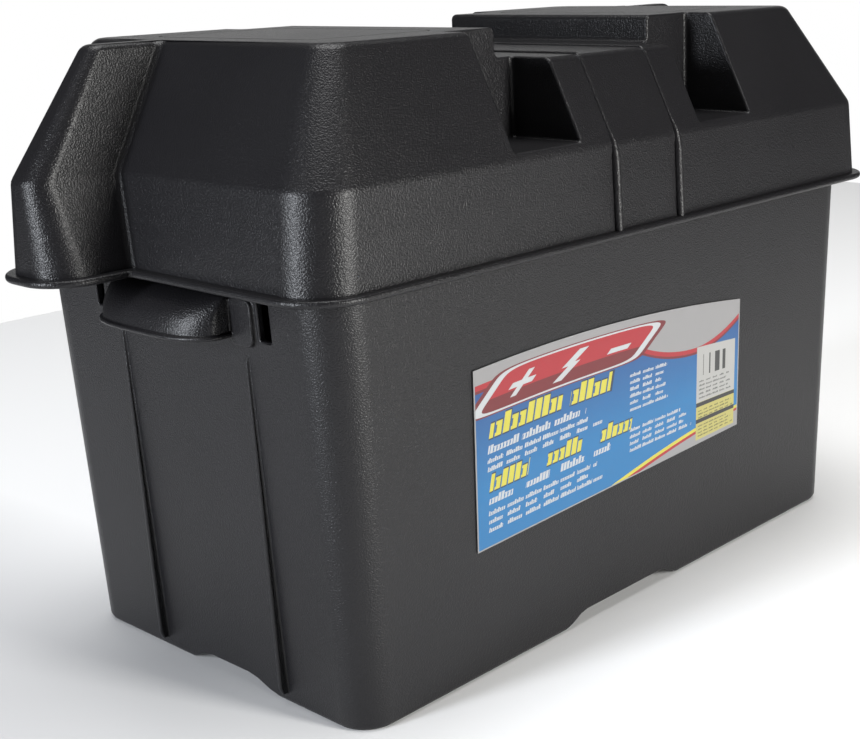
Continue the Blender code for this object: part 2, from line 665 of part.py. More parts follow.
def make_cells():
    """The six cells: positive plates, negative plates, separators and the links."""
    for index in range(CELLS):
        side = positive_side(index)
        negative = [PLATE_STEP * k for k in (-4, -2, 0, 2, 4)]
        positive = [PLATE_STEP * k for k in (-3, -1, 1, 3)]
        number = index + 1
        plate_comb(f"positive_plates_{number}", index, side, positive, ((0.16, 0.09, 0.07), 0.8))
        plate_comb(f"negative_plates_{number}", index, -side, negative, LEAD)
        reach = 3.5 * PLATE_STEP + SEPARATOR_THICK / 2
        sheets = block("separators", (cell_x(index) - reach, -0.079, 0.0180),
                       (cell_x(index) + reach, 0.079, 0.0215))
        for k in range(8):
            x = cell_x(index) + PLATE_STEP * (k - 3.5)
            join(sheets, block("sheet", (x - SEPARATOR_THICK / 2, -0.078, 0.020),
                               (x + SEPARATOR_THICK / 2, 0.078, 0.160)))
        finish(sheets, f"separators_{number}", (0.75, 0.75, 0.72), 0.7)
    middle_z = (BAR_Z[0] + BAR_Z[1]) / 2
    for index in range(CELLS - 1):
        start = cell_x(index) + 3.5 * PLATE_STEP + GAP
        stop = cell_x(index + 1) - 4.5 * PLATE_STEP - GAP
        link = rod("link", LINK_RADIUS, (link_y(index), middle_z), start, stop, "X", 8)
        finish(link, f"intercell_link_{index + 1}", *LEAD)


def make_terminal(sign_name, index):
    """Lead terminal: a post up from the cell, a pad on the cover, and a stud, washer and wing nut."""
    x = cell_x(index)
    root_y = TERMINAL_Y
    lead = rod("post", POST_RADIUS, (x, root_y), BAR_Z[1] + GAP, PAD_TOP_Z - 0.001)
    pad_centre = (x, (TERMINAL_Y + STUD_Y) / 2)
    pad_half = (PAD_HALF, (TERMINAL_Y - STUD_Y) / 2 + PAD_HALF)
    pad = prism("pad", outline(pad_half, 0.008, pad_centre, 4), "Z", COVER_TOP_Z + GAP, PAD_TOP_Z)
    post = loft("taper", [at_height(circle(0.0086, (x, root_y), 20), PAD_TOP_Z - 0.001),
                          at_height(circle(0.0079, (x, root_y), 20), POST_TOP_Z - 0.001),
                          at_height(circle(0.0069, (x, root_y), 20), POST_TOP_Z)])
    join(lead, pad, post)
    cut(lead, rod("well", STUD_RADIUS + GAP, (x, STUD_Y), COVER_TOP_Z + 0.0015, PAD_TOP_Z + 0.01))
    finish(lead, f"{sign_name}_terminal", *LEAD)

    stud_low = COVER_TOP_Z + 0.0015 + GAP
    stud = loft("stud", [at_height(circle(STUD_RADIUS, (x, STUD_Y)), stud_low),
                         at_height(circle(STUD_RADIUS, (x, STUD_Y)), STUD_TOP_Z - 0.001),
                         at_height(circle(STUD_RADIUS - 0.0008, (x, STUD_Y)), STUD_TOP_Z)])
    finish(stud, f"{sign_name}_stud", *STEEL)

    washer_low = PAD_TOP_Z + GAP
    washer_top = washer_low + 0.0016
    washer = rod("washer", 0.0088, (x, STUD_Y), washer_low, washer_top, segments=20)
    cut(washer, rod("bore", STUD_RADIUS + 0.0005, (x, STUD_Y), washer_low - 0.01, washer_top + 0.01))
    finish(washer, f"{sign_name}_washer", *STEEL)

    nut_low = washer_top + GAP
    nut = loft("nut", [at_height(circle(0.0075, (x, STUD_Y)), nut_low),
                       at_height(circle(0.0060, (x, STUD_Y)), nut_low + 0.0085)])
    wing = ((0.0040, nut_low + 0.0012), (0.0100, nut_low + 0.0040), (0.0145, nut_low + 0.0090),
            (0.0150, nut_low + 0.0130), (0.0120, nut_low + 0.0145), (0.0080, nut_low + 0.0120),
            (0.0045, nut_low + 0.0070))
    for side in (-1, 1):
        points = [(x + side * reach, z) for reach, z in wing]
        join(nut, prism("wing", points, "Y", STUD_Y - 0.0014, STUD_Y + 0.0014))
    cut(nut, rod("bore", STUD_RADIUS + GAP, (x, STUD_Y), nut_low - 0.01, nut_low + 0.03))
    finish(nut, f"{sign_name}_wing_nut", *STEEL)
    pivot_at(nut, (x, STUD_Y, nut_low))


# ---------------------------------------------------------------- hold-down kit
def make_strap():
    """Hold-down strap rolled up on its edge, with its end running out to the buckle."""
    low = FLOOR_Z + GAP
    roll = rod("roll", ROLL_RADIUS, ROLL_CENTRE, low, low + STRAP_WIDTH, segments=32)
    tail_x = ROLL_CENTRE[0] - ROLL_RADIUS
    tail = block("tail", (tail_x, ROLL_CENTRE[1], low + 0.0002),
                 (tail_x + STRAP_THICK, BUCKLE_Y[0] + 0.003, low + STRAP_WIDTH - 0.0002))
    join(roll, tail)
    finish(roll, "hold_down_strap", (0.025, 0.025, 0.028), 0.85)


def make_buckle():
    """Cam buckle on the strap's end: a frame, a pin and a cam lever."""
    low = FLOOR_Z + GAP
    middle_x = ROLL_CENTRE[0] - ROLL_RADIUS + STRAP_THICK / 2
    z_low = low + 0.0005
    z_high = low + STRAP_WIDTH + 2 * BUCKLE_SIDE + 0.002
    window_low = z_low + BUCKLE_SIDE
    window_high = z_high - BUCKLE_SIDE
    frame = block("frame", (middle_x - BUCKLE_HALF_X, BUCKLE_Y[0], z_low),
                  (middle_x + BUCKLE_HALF_X, BUCKLE_Y[1], z_high))
    cut(frame, block("window", (middle_x - 0.02, BUCKLE_Y[0] + 0.006, window_low),
                     (middle_x + 0.02, BUCKLE_Y[1] - 0.005, window_high)))
    strap_low = low - 0.001
    cut(frame, block("slot", (middle_x - STRAP_THICK / 2 - GAP, BUCKLE_Y[0] - 0.01, strap_low),
                     (middle_x + STRAP_THICK / 2 + GAP, BUCKLE_Y[0] + 0.008, low + STRAP_WIDTH + GAP)))
    pin_x = middle_x + 0.0015
    cut(frame, rod("bore", PIN_RADIUS + GAP, (pin_x, PIN_Y), z_low + 0.0015, z_high - 0.0015, segments=12))
    finish(frame, "buckle_frame", *STEEL)

    pin = rod("pin", PIN_RADIUS, (pin_x, PIN_Y), z_low + 0.002, z_high - 0.002, segments=12)
    finish(pin, "buckle_pin", *STEEL)

    lever_low = window_low + 0.0008
    lever_high = window_high - 0.0008
    drum = rod("cam", 0.0042, (pin_x, PIN_Y), lever_low, lever_high)
    arm = ((pin_x - 0.0010, PIN_Y), (pin_x + 0.0035, PIN_Y), (pin_x + 0.0060, PIN_Y + 0.020),
           (pin_x + 0.0085, PIN_Y + 0.027), (pin_x + 0.0065, PIN_Y + 0.028),
           (pin_x + 0.0035, PIN_Y + 0.021))
    join(drum, prism("arm", arm, "Z", lever_low + 0.001, lever_high - 0.001))
    cut(drum, rod("bore", PIN_RADIUS + GAP, (pin_x, PIN_Y), lever_low - 0.01, lever_high + 0.01, segments=12))
    finish(drum, "buckle_cam", *STEEL)
    pivot_at(drum, (pin_x, PIN_Y, lever_low))


def make_bracket(name, side):
    """Bent steel bracket with a strap slot and two screw holes."""
    floor = FOOT_FLOOR_Z + GAP
    foot_low, foot_high = 0.066, 0.088
    y_low, y_high = sorted((side * foot_low, side * foot_high))
    x_high = BRACKET_X + BRACKET_LENGTH
    bracket = block("foot", (BRACKET_X, y_low, floor), (x_high, y_high, floor + BRACKET_THICK))
    leg_y = sorted((side * foot_low, side * (foot_low + BRACKET_THICK)))
    join(bracket, block("leg", (BRACKET_X, leg_y[0], floor), (x_high, leg_y[1], floor + 0.030)))
    slot = outline((0.0202, 0.0022), 0.0018, (BRACKET_X + BRACKET_LENGTH / 2, floor + 0.023), 2)
    cut(bracket, prism("slot", slot, "Y", leg_y[0] - 0.01, leg_y[1] + 0.01))
    for x in (BRACKET_X + 0.010, x_high - 0.010):
        hole = rod("hole", 0.0026, (x, side * 0.078), floor - 0.01, floor + 0.01, segments=12)
        cut(bracket, hole)
    finish(bracket, name, *STEEL)


def make_screws():
    """Four pan-head screws for the brackets, lying in the foot well."""
    floor = FOOT_FLOOR_Z + GAP
    head_radius = 0.0042
    places = [(x, y) for x in (0.106, 0.130) for y in (-0.0610, -0.0520)]
    for number, (x, y) in enumerate(places, start=1):
        axis = (y, floor + head_radius)
        screw = rod("head", head_radius, axis, x, x + 0.0028, "X", 12)
        join(screw, rod("shank", 0.0021, axis, x + 0.002, x + 0.019, "X", 8))
        finish(screw, f"bracket_screw_{number}", *STEEL)


# ---------------------------------------------------------------- assembly
def main():
    """Build every piece of the box, the battery and the kit."""
    clear_scene()
    make_tub()
    make_lid()
    make_label()
    make_divider()
    make_battery_case()
    make_battery_cover()
    make_vent_cap("vent_cap_1", (0, 1, 2))
    make_vent_cap("vent_cap_2", (3, 4, 5))
    make_cells()
    make_terminal("negative", 0)
    make_terminal("positive", CELLS - 1)
    make_strap()
    make_buckle()
    make_bracket("mounting_bracket_1", -1)
    make_bracket("mounting_bracket_2", 1)
    make_screws()


main()
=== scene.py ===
"""Looks for a vented battery box: grained plastic tub and lid, printed label, battery and kit."""

import logging
import math
from dataclasses import dataclass, field
from enum import Enum
from typing import Sequence, Union

import bmesh
import bpy
from mathutils import Matrix, Vector


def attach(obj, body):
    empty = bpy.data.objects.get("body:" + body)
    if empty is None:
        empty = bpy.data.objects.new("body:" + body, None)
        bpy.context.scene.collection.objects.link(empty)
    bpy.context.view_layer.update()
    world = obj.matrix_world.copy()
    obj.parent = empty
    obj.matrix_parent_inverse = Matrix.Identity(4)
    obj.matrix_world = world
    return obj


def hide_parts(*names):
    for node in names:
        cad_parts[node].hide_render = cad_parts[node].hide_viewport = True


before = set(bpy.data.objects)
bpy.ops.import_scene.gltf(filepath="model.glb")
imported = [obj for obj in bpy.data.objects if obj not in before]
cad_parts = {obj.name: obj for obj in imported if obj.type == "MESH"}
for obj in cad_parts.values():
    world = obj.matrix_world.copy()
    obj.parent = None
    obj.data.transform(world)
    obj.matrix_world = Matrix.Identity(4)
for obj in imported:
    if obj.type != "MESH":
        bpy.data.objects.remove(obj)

LOG = logging.getLogger("battery_box")
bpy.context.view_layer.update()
POLES = ("negative", "positive")
MADE: dict[str, bpy.types.Material] = {}

Piece = bpy.types.Object
Number = Union[float, int]
Operand = Union["Signal", float, int]
Point2 = tuple[float, float]
Point3 = tuple[float, float, float]
Colour = tuple[float, float, float]


# ---------- shader tools
class Signal:
    """A node socket that can be used in Python arithmetic."""

    def __init__(self, recipe: "Recipe", socket: bpy.types.NodeSocket) -> None:
        """Keep the recipe that owns the socket."""
        self.recipe = recipe
        self.socket = socket

    def __add__(self, other: Operand) -> "Signal":
        """Sum."""
        return self.function("ADD", other)

    def __sub__(self, other: Operand) -> "Signal":
        """Difference."""
        return self.function("SUBTRACT", other)

    def __rsub__(self, other: Number) -> "Signal":
        """Difference from a number."""
        return self.recipe.math("SUBTRACT", other, self)

    def __mul__(self, other: Operand) -> "Signal":
        """Product."""
        return self.function("MULTIPLY", other)

    def __truediv__(self, other: Operand) -> "Signal":
        """Quotient."""
        return self.function("DIVIDE", other)

    def __gt__(self, other: Operand) -> "Signal":
        """One where this signal is greater, else zero."""
        return self.function("GREATER_THAN", other)

    def __lt__(self, other: Operand) -> "Signal":
        """One where this signal is less, else zero."""
        return self.function("LESS_THAN", other)

    def between(self, low: Operand, high: Operand) -> "Signal":
        """One between two limits, else zero."""
        return (self > low) * (self < high)

    def function(self, operation: str, *others: Operand) -> "Signal":
        """Any Math operation that takes this signal first, such as FRACT or POWER."""
        return self.recipe.math(operation, self, *others)


class Recipe:
    """One material under construction."""

    def __init__(self, name: str) -> None:
        """Start a material with a Principled shader.

        Args:
            name: The material's name.
        """
        self.material = bpy.data.materials.new(name)
        self.material.use_nodes = True
        self.tree = self.material.node_tree
        self.shader = self.tree.nodes["Principled BSDF"]

    def node(self, kind: str, settings: dict, sockets: dict) -> bpy.types.Node:
        """Add a node.

        Args:
            kind: The node's type.
            settings: Attributes to set first; "stops" fills a colour ramp.
            sockets: Input names or numbers, with a value or a Signal each.

        Returns:
            The node.
        """
        made = self.tree.nodes.new(kind)
        for key, value in settings.items():
            if key == "stops":
                ramp = made.color_ramp.elements
                while len(ramp) < len(value):
                    ramp.new(1.0)
                for element, (place, colour) in zip(ramp, value):
                    element.position = place
                    element.color = (*colour, 1.0)
            else:
                setattr(made, key, value)
        for key, value in sockets.items():
            if isinstance(value, Signal):
                self.tree.links.new(value.socket, made.inputs[key])
            else:
                made.inputs[key].default_value = value
        return made

    def math(self, operation: str, *values: Operand) -> Signal:
        """Add a Math node and return its value."""
        made = self.node("ShaderNodeMath", {"operation": operation}, dict(enumerate(values)))
        return Signal(self, made.outputs[0])

    def place(self) -> Signal:
        """Object coordinates."""
        return Signal(self, self.node("ShaderNodeTexCoord", {}, {}).outputs["Object"])

    def print_place(self) -> Signal:
        """The piece's own UV map."""
        return Signal(self, self.node("ShaderNodeTexCoord", {}, {}).outputs["UV"])

    def axes(self, vector: Signal) -> tuple[Signal, Signal, Signal]:
        """Split a vector into its three numbers."""
        made = self.node("ShaderNodeSeparateXYZ", {}, {0: vector})
        return tuple(Signal(self, made.outputs[i]) for i in range(3))

    def noise(self, place: Signal, scale: float, detail: float = 2.0,
              roughness: float = 0.5) -> Signal:
        """Smooth noise from 0 to 1."""
        sockets = {"Vector": place, "Scale": scale, "Detail": detail, "Roughness": roughness}
        return Signal(self, self.node("ShaderNodeTexNoise", {}, sockets).outputs[0])

    def stretch(self, place: Signal, factors: Point3) -> Signal:
        """Scale coordinates by a factor on each axis."""
        made = self.node("ShaderNodeMapping", {}, {"Vector": place, "Scale": factors})
        return Signal(self, made.outputs[0])

    def ramp(self, value: Signal, stops: Sequence[tuple[float, Colour]]) -> Signal:
        """Colour by value."""
        made = self.node("ShaderNodeValToRGB", {"stops": stops}, {0: value})
        return Signal(self, made.outputs[0])

    def blend(self, share: Signal, first: Union[Signal, Colour],
              second: Union[Signal, Colour]) -> Signal:
        """Mix two colours by a share."""
        def ready(colour: Union[Signal, Colour]) -> Union[Signal, tuple]:
            return colour if isinstance(colour, Signal) else (*colour, 1.0)
        made = self.node("ShaderNodeMix", {"data_type": "RGBA"},
                         {0: share, 6: ready(first), 7: ready(second)})
        return Signal(self, made.outputs[2])

    def bump(self, height: Signal, distance: float, strength: float) -> None:
        """Raise the surface by a height in units of a distance in metres."""
        sockets = {"Height": height, "Distance": distance, "Strength": strength}
        made = self.node("ShaderNodeBump", {}, sockets)
        self.tree.links.new(made.outputs[0], self.shader.inputs["Normal"])

    def feed(self, **inputs: Union[Signal, Number, Colour]) -> "Recipe":
        """Set the shader's sockets, named with underscores for spaces."""
        for name, value in inputs.items():
            socket = self.shader.inputs[name.replace("_", " ")]
            if isinstance(value, Signal):
                self.tree.links.new(value.socket, socket)
            elif isinstance(value, tuple):
                socket.default_value = (*value, 1.0)
            else:
                socket.default_value = value
        return self


# ---------- finishes
@dataclass(frozen=True)
class GrainedPlastic:
    """Moulded polyethylene with a pebble grain and a little handling dust."""

    name: str
    colour: Colour
    worn_colour: Colour
    roughness: float = 0.33
    specular: float = 0.32
    grain_scale: float = 1500.0
    grain_depth: float = 0.00010
    grain_strength: float = 0.8
    grain_floor: float = 0.34
    grain_span: float = 0.32
    cloud_scale: float = 9.0
    flow_stretch: Point3 = (26.0, 26.0, 5.0)
    dust_power: float = 2.2

    def material(self) -> bpy.types.Material:
        """Build the material."""
        recipe = Recipe(self.name)
        place = recipe.place()
        grain = recipe.noise(place, self.grain_scale, 1.0)
        pebbles = (grain - self.grain_floor) / self.grain_span
        pebbles = pebbles.function("MAXIMUM", 0.0).function("MINIMUM", 1.0)
        clouds = recipe.noise(place, self.cloud_scale, 2.0)
        flow = recipe.noise(recipe.stretch(place, self.flow_stretch), 1.0, 1.0)
        dust = (clouds * 0.6 + flow * 0.4).function("POWER", self.dust_power)
        tone = recipe.blend(dust, self.colour, self.worn_colour)
        rough = clouds * 0.10 + pebbles * 0.06 + (self.roughness - 0.08)
        recipe.bump(pebbles, self.grain_depth, self.grain_strength)
        recipe.feed(Base_Color=tone, Roughness=rough, Specular_IOR_Level=self.specular)
        return recipe.material


@dataclass(frozen=True)
class SmoothPlastic:
    """Moulded plastic with a light satin texture."""

    name: str
    colour: Colour
    roughness: float = 0.4
    texture: float = 0.00008

    def material(self) -> bpy.types.Material:
        """Build the material."""
        recipe = Recipe(self.name)
        place = recipe.place()
        fine = recipe.noise(place, 1500.0, 2.0)
        clouds = recipe.noise(place, 22.0, 3.0)
        lighter = tuple(min(1.0, part * 1.35 + 0.004) for part in self.colour)
        tone = recipe.blend(clouds, self.colour, lighter)
        recipe.bump(fine, self.texture, 0.5)
        recipe.feed(Base_Color=tone, Roughness=clouds * 0.14 + (self.roughness - 0.07))
        return recipe.material


@dataclass(frozen=True)
class Metal:
    """Brushed or cast metal; brushing runs along one axis."""

    name: str
    colour: Colour
    roughness: float
    brushing: Point3 = (60.0, 1800.0, 1800.0)
    depth: float = 0.00003
    dullness: float = 0.0

    def material(self) -> bpy.types.Material:
        """Build the material."""
        recipe = Recipe(self.name)
        place = recipe.place()
        lines = recipe.noise(recipe.stretch(place, self.brushing), 1.0, 3.0)
        clouds = recipe.noise(place, 70.0, 4.0)
        dark = tuple(part * 0.62 for part in self.colour)
        tone = recipe.blend(clouds * (0.5 + self.dullness) + lines * 0.2, self.colour, dark)
        recipe.bump(lines, self.depth, 0.6)
        rough = lines * 0.12 + clouds * (0.10 + self.dullness * 0.25) + (self.roughness - 0.10)
        recipe.feed(Base_Color=tone, Roughness=rough, Metallic=1.0)
        return recipe.material


@dataclass(frozen=True)
class Pasted:
    """Porous matt paste or sheet, such as a battery plate or a separator."""

    name: str
    colour: Colour
    shade: Colour

    def material(self) -> bpy.types.Material:
        """Build the material."""
        recipe = Recipe(self.name)
        place = recipe.place()
        pores = recipe.noise(place, 420.0, 4.0, 0.7)
        recipe.bump(pores, 0.0003, 0.6)
        tone = recipe.blend(pores, self.colour, self.shade)
        recipe.feed(Base_Color=tone, Roughness=pores * 0.2 + 0.65)
        return recipe.material


@dataclass(frozen=True)
class Webbing:
    """Woven strap; the weave follows the strip's own UV map, in metres."""

    name: str
    colour: Colour
    pitch: float = 0.0017

    def material(self) -> bpy.types.Material:
        """Build the material."""
        recipe = Recipe(self.name)
        along, across, _ = recipe.axes(recipe.print_place())
        turn = 2 * math.pi / self.pitch
        lengthwise = (along * turn).function("SINE")
        crosswise = (across * turn * 0.5 + (along * (turn * 0.5))).function("SINE")
        height = (lengthwise * 0.4 + crosswise * 0.6) * 0.5 + 0.5
        # Painted shade: the weave's hollows are darker and its raised threads lighter, following
        # the bump's height.
        lighter = tuple(part * 2.2 + 0.01 for part in self.colour)
        recipe.bump(height, 0.0004, 0.9)
        tone = recipe.blend(height, self.colour, lighter)
        recipe.feed(Base_Color=tone, Roughness=height * 0.15 + 0.6)
        return recipe.material


@dataclass(frozen=True)
class Strokes:
    """Block of short upright strokes that stands for small print, in shares of the label."""

    left: float
    right: float
    bottom: float
    height: float
    word: float
    seed: float
    lines: int = 1
    pitch: float = 0.0


@dataclass(frozen=True)
class PrintedFilm:
    """Printed label: plain bands, blocks and bars on a blue field, with no lettering."""

    name: str
    deep_blue: Colour = (0.004, 0.048, 0.175)
    light_blue: Colour = (0.003, 0.115, 0.285)
    silver: Colour = (0.215, 0.212, 0.215)
    red: Colour = (0.270, 0.006, 0.012)
    dark_red: Colour = (0.110, 0.003, 0.006)
    yellow: Colour = (0.430, 0.390, 0.040)
    white: Colour = (0.370, 0.385, 0.400)
    ink: Colour = (0.008, 0.008, 0.010)
    pale: Colour = (0.300, 0.300, 0.290)
    straw: Colour = (0.340, 0.310, 0.090)
    bar: Colour = (0.02, 0.02, 0.02)

    def material(self) -> bpy.types.Material:
        """Build the material."""
        recipe = Recipe(self.name)
        s, t, _ = recipe.axes(recipe.print_place())
        tone = recipe.ramp(t, ((0.0, self.light_blue), (0.35, self.light_blue),
                               (0.85, self.deep_blue)))
        tone = self._lines(recipe, tone, s, t)
        tone = self._corner(recipe, tone, s, t)
        tone = self._sweep(recipe, tone, s, t)
        tone = self._emblem(recipe, tone, s, t)
        tone = self._panel(recipe, tone, s, t)
        edge = s.between(0.004, 0.996) * t.between(0.008, 0.992)
        tone = recipe.blend(edge, self.silver, tone)
        wrinkle = recipe.noise(recipe.place(), 60.0, 2.0)
        recipe.bump(wrinkle, 0.0004, 0.25)
        recipe.feed(Base_Color=tone, Roughness=wrinkle * 0.1 + 0.30, Coat_Weight=0.25,
                    Coat_Roughness=0.15)
        return recipe.material

    def _words(self, recipe: Recipe, s: Signal, t: Signal, block: Strokes,
               rim: float = 0.0) -> Signal:
        """Mask of upright strokes, grouped like words but without any letter shapes.

        Args:
            recipe: The material.
            s: Place along the label.
            t: Height on the label.
            block: Where the strokes stand.
            rim: How far the strokes are widened, for an outline.

        Returns:
            One inside the strokes, else zero.
        """
        rise = t - block.bottom
        reach = block.right - block.left
        seed = block.seed
        if block.lines > 1:
            line = (rise / block.pitch).function("FLOOR")
            rise = rise - line * block.pitch
            seed = line * 3.7 + block.seed
            ragged = (line * 0.618).function("FRACT") * (reach * 0.22)
            outside = 1 - line.between(-0.5, block.lines - 0.5)
            reach = reach - (ragged + outside)
        slant = s - block.left - rise * 0.10
        count = slant / block.word
        wobble = (count.function("FLOOR") * 12.9898 + seed).function("SINE") * 0.14
        groups = count.function("FRACT").between(0.03, wobble + 0.80)
        stroke = slant / (block.height * 0.235)
        chance = (stroke.function("FLOOR") * 78.233 + seed).function("SINE")
        chance = (chance * 437.5).function("FRACT")
        tall = (chance > 0.62) * (block.height * 0.30) + (block.height * 0.70 + rim)
        share = stroke.function("FRACT")
        hollow = rise.between(block.height * 0.17, block.height * 0.54) * (chance < 0.5)
        solid = share.between(0.16 - rim * 9, 0.80 + rim * 9) + (share < 0.62) * (1 - hollow)
        return (solid > 0.5) * groups * rise.between(-rim, tall) * slant.between(-rim, reach + rim)

    def _lines(self, recipe: Recipe, tone: Signal, s: Signal, t: Signal) -> Signal:
        """Two rows of tall yellow strokes, and blocks of small pale strokes."""
        for block in (Strokes(0.035, 0.46, 0.605, 0.110, 0.270, 1.0),
                      Strokes(0.035, 0.60, 0.312, 0.092, 0.190, 4.0)):
            tone = recipe.blend(self._words(recipe, s, t, block, 0.008) * 0.85, tone, self.ink)
            tone = recipe.blend(self._words(recipe, s, t, block), tone, self.yellow)
        for block in (Strokes(0.035, 0.37, 0.522, 0.045, 0.110, 2.0),
                      Strokes(0.035, 0.43, 0.425, 0.026, 0.060, 3.0, 2, 0.046),
                      Strokes(0.035, 0.46, 0.240, 0.045, 0.120, 5.0),
                      Strokes(0.035, 0.43, 0.085, 0.026, 0.060, 6.0, 3, 0.047),
                      Strokes(0.535, 0.69, 0.425, 0.022, 0.050, 7.0, 6, 0.043),
                      Strokes(0.535, 0.79, 0.165, 0.022, 0.050, 8.0, 4, 0.043)):
            tone = recipe.blend(self._words(recipe, s, t, block), tone, self.white)
        return tone

    def _corner(self, recipe: Recipe, tone: Signal, s: Signal, t: Signal) -> Signal:
        """Silver corner under a yellow and a red stripe."""
        run = s - 0.50
        rise = run * 0.40 - run * run * 0.22
        tone = recipe.blend(rise + 0.022 > t, tone, self.yellow)
        tone = recipe.blend(rise - 0.002 > t, tone, self.red)
        return recipe.blend(rise - 0.022 > t, tone, self.silver)

    def _sweep(self, recipe: Recipe, tone: Signal, s: Signal, t: Signal) -> Signal:
        """Silver sweep along the top edge with a red stripe under it."""
        left_arm = (s - 0.79) / 0.30
        right_arm = (s - 0.79) / 0.22
        right_side = s > 0.79
        arm = left_arm * (1 - right_side) + right_arm * right_side
        dip = (1 - arm * arm).function("MAXIMUM", 0.0)
        line = 0.915 - dip * 0.215
        tone = recipe.blend(t > line - 0.045, tone, self.dark_red)
        tone = recipe.blend(t > line - 0.030, tone, self.red)
        return recipe.blend(t > line, tone, self.silver)

    def _emblem(self, recipe: Recipe, tone: Signal, s: Signal, t: Signal) -> Signal:
        """Slanted red banner with a pale rim, polarity signs and a bolt."""
        x = (s - 0.325 - (t - 0.84) * 0.55) / 0.275
        y = (t - 0.840) / 0.100
        reach = (x.function("ABSOLUTE").function("POWER", 8.0)
                 + y.function("ABSOLUTE").function("POWER", 8.0))
        tone = recipe.blend(reach < 2.6, tone, self.dark_red)
        tone = recipe.blend(reach < 1.6, tone, self.white)
        tone = recipe.blend(reach < 0.75, tone, self.dark_red)
        tone = recipe.blend((reach < 0.75) * (y > -0.25), tone, self.red)
        upright = (x + 0.62).function("ABSOLUTE") < 0.035
        level = y.function("ABSOLUTE") < 0.14
        plus = (upright * (y.function("ABSOLUTE") < 0.58)
                + level * ((x + 0.62).function("ABSOLUTE") < 0.14)) > 0.5
        minus = level * ((x - 0.62).function("ABSOLUTE") < 0.14)
        lean = x - y * 0.10
        bolt = ((lean + 0.05).between(-0.07, 0.05) * y.between(-0.06, 0.72)
                + (lean - 0.03).between(-0.07, 0.04) * y.between(-0.72, 0.10)) > 0.5
        return recipe.blend((plus + minus + bolt) > 0.5, tone, self.white)

    def _panel(self, recipe: Recipe, tone: Signal, s: Signal, t: Signal) -> Signal:
        """Side panel: pale with upright bars above, yellow with dark bands below."""
        inside = s.between(0.812, 0.982)
        tone = recipe.blend(inside * t.between(0.030, 0.300), tone, self.straw)
        tone = recipe.blend(inside * t.between(0.300, 0.700), tone, self.pale)
        for bottom in (0.268, 0.150):
            tone = recipe.blend(inside * t.between(bottom, bottom + 0.030), tone, self.ink)
        stripe = (s * 190.0).function("SINE") + (s * 71.0).function("SINE") * 0.8
        bars = (stripe > 0.15) * s.between(0.840, 0.955) * t.between(0.490, 0.640)
        tone = recipe.blend(bars, tone, self.bar)
        for block in (Strokes(0.822, 0.972, 0.325, 0.013, 0.030, 1.7, 5, 0.030),
                      Strokes(0.820, 0.975, 0.050, 0.011, 0.024, 2.3, 4, 0.024),
                      Strokes(0.820, 0.975, 0.184, 0.011, 0.024, 3.1, 3, 0.024)):
            tone = recipe.blend(self._words(recipe, s, t, block) * 0.8, tone, self.ink)
        return tone


class Finish(Enum):
    """The finishes of the object's pieces."""

    BOX = GrainedPlastic("box_plastic", (0.0075, 0.0072, 0.0082), (0.0140, 0.0135, 0.0150))
    CASE = SmoothPlastic("case_plastic", (0.016, 0.016, 0.018), 0.38)
    COVER = SmoothPlastic("cover_plastic", (0.050, 0.050, 0.054), 0.42)
    CAP = SmoothPlastic("cap_plastic", (0.36, 0.020, 0.018), 0.36)
    LEAD = Metal("cast_lead", (0.36, 0.37, 0.40), 0.52, (300.0, 300.0, 300.0), 0.00010, 0.5)
    STAINLESS = Metal("brushed_stainless", (0.66, 0.65, 0.62), 0.26)
    PLATED = Metal("zinc_plate", (0.58, 0.59, 0.62), 0.34, (400.0, 400.0, 400.0), 0.00002)
    OXIDE = Pasted("lead_oxide_paste", (0.13, 0.060, 0.040), (0.07, 0.035, 0.026))
    GREY_PASTE = Pasted("grey_paste", (0.30, 0.31, 0.33), (0.20, 0.21, 0.23))
    SHEET = Pasted("separator_sheet", (0.72, 0.71, 0.66), (0.60, 0.60, 0.56))
    STRAP = Webbing("strap_webbing", (0.010, 0.010, 0.011))
    LABEL = PrintedFilm("printed_film")

    def dress(self, piece: Piece) -> Piece:
        """Give a piece this finish as its only material.

        Args:
            piece: A mesh object.

        Returns:
            The same object.
        """
        material = MADE.get(self.name) or self.value.material()
        MADE[self.name] = material
        if len(piece.material_slots) == 0:
            piece.data.materials.append(material)
        for slot in piece.material_slots:
            slot.material = material
        return piece


# ---------- mesh tools
@dataclass(frozen=True)
class Level:
    """One level of a stack: a rounded rectangle at a height."""

    z: float
    half: Point2
    radius: float
    centre: Point2 = (0.0, 0.0)


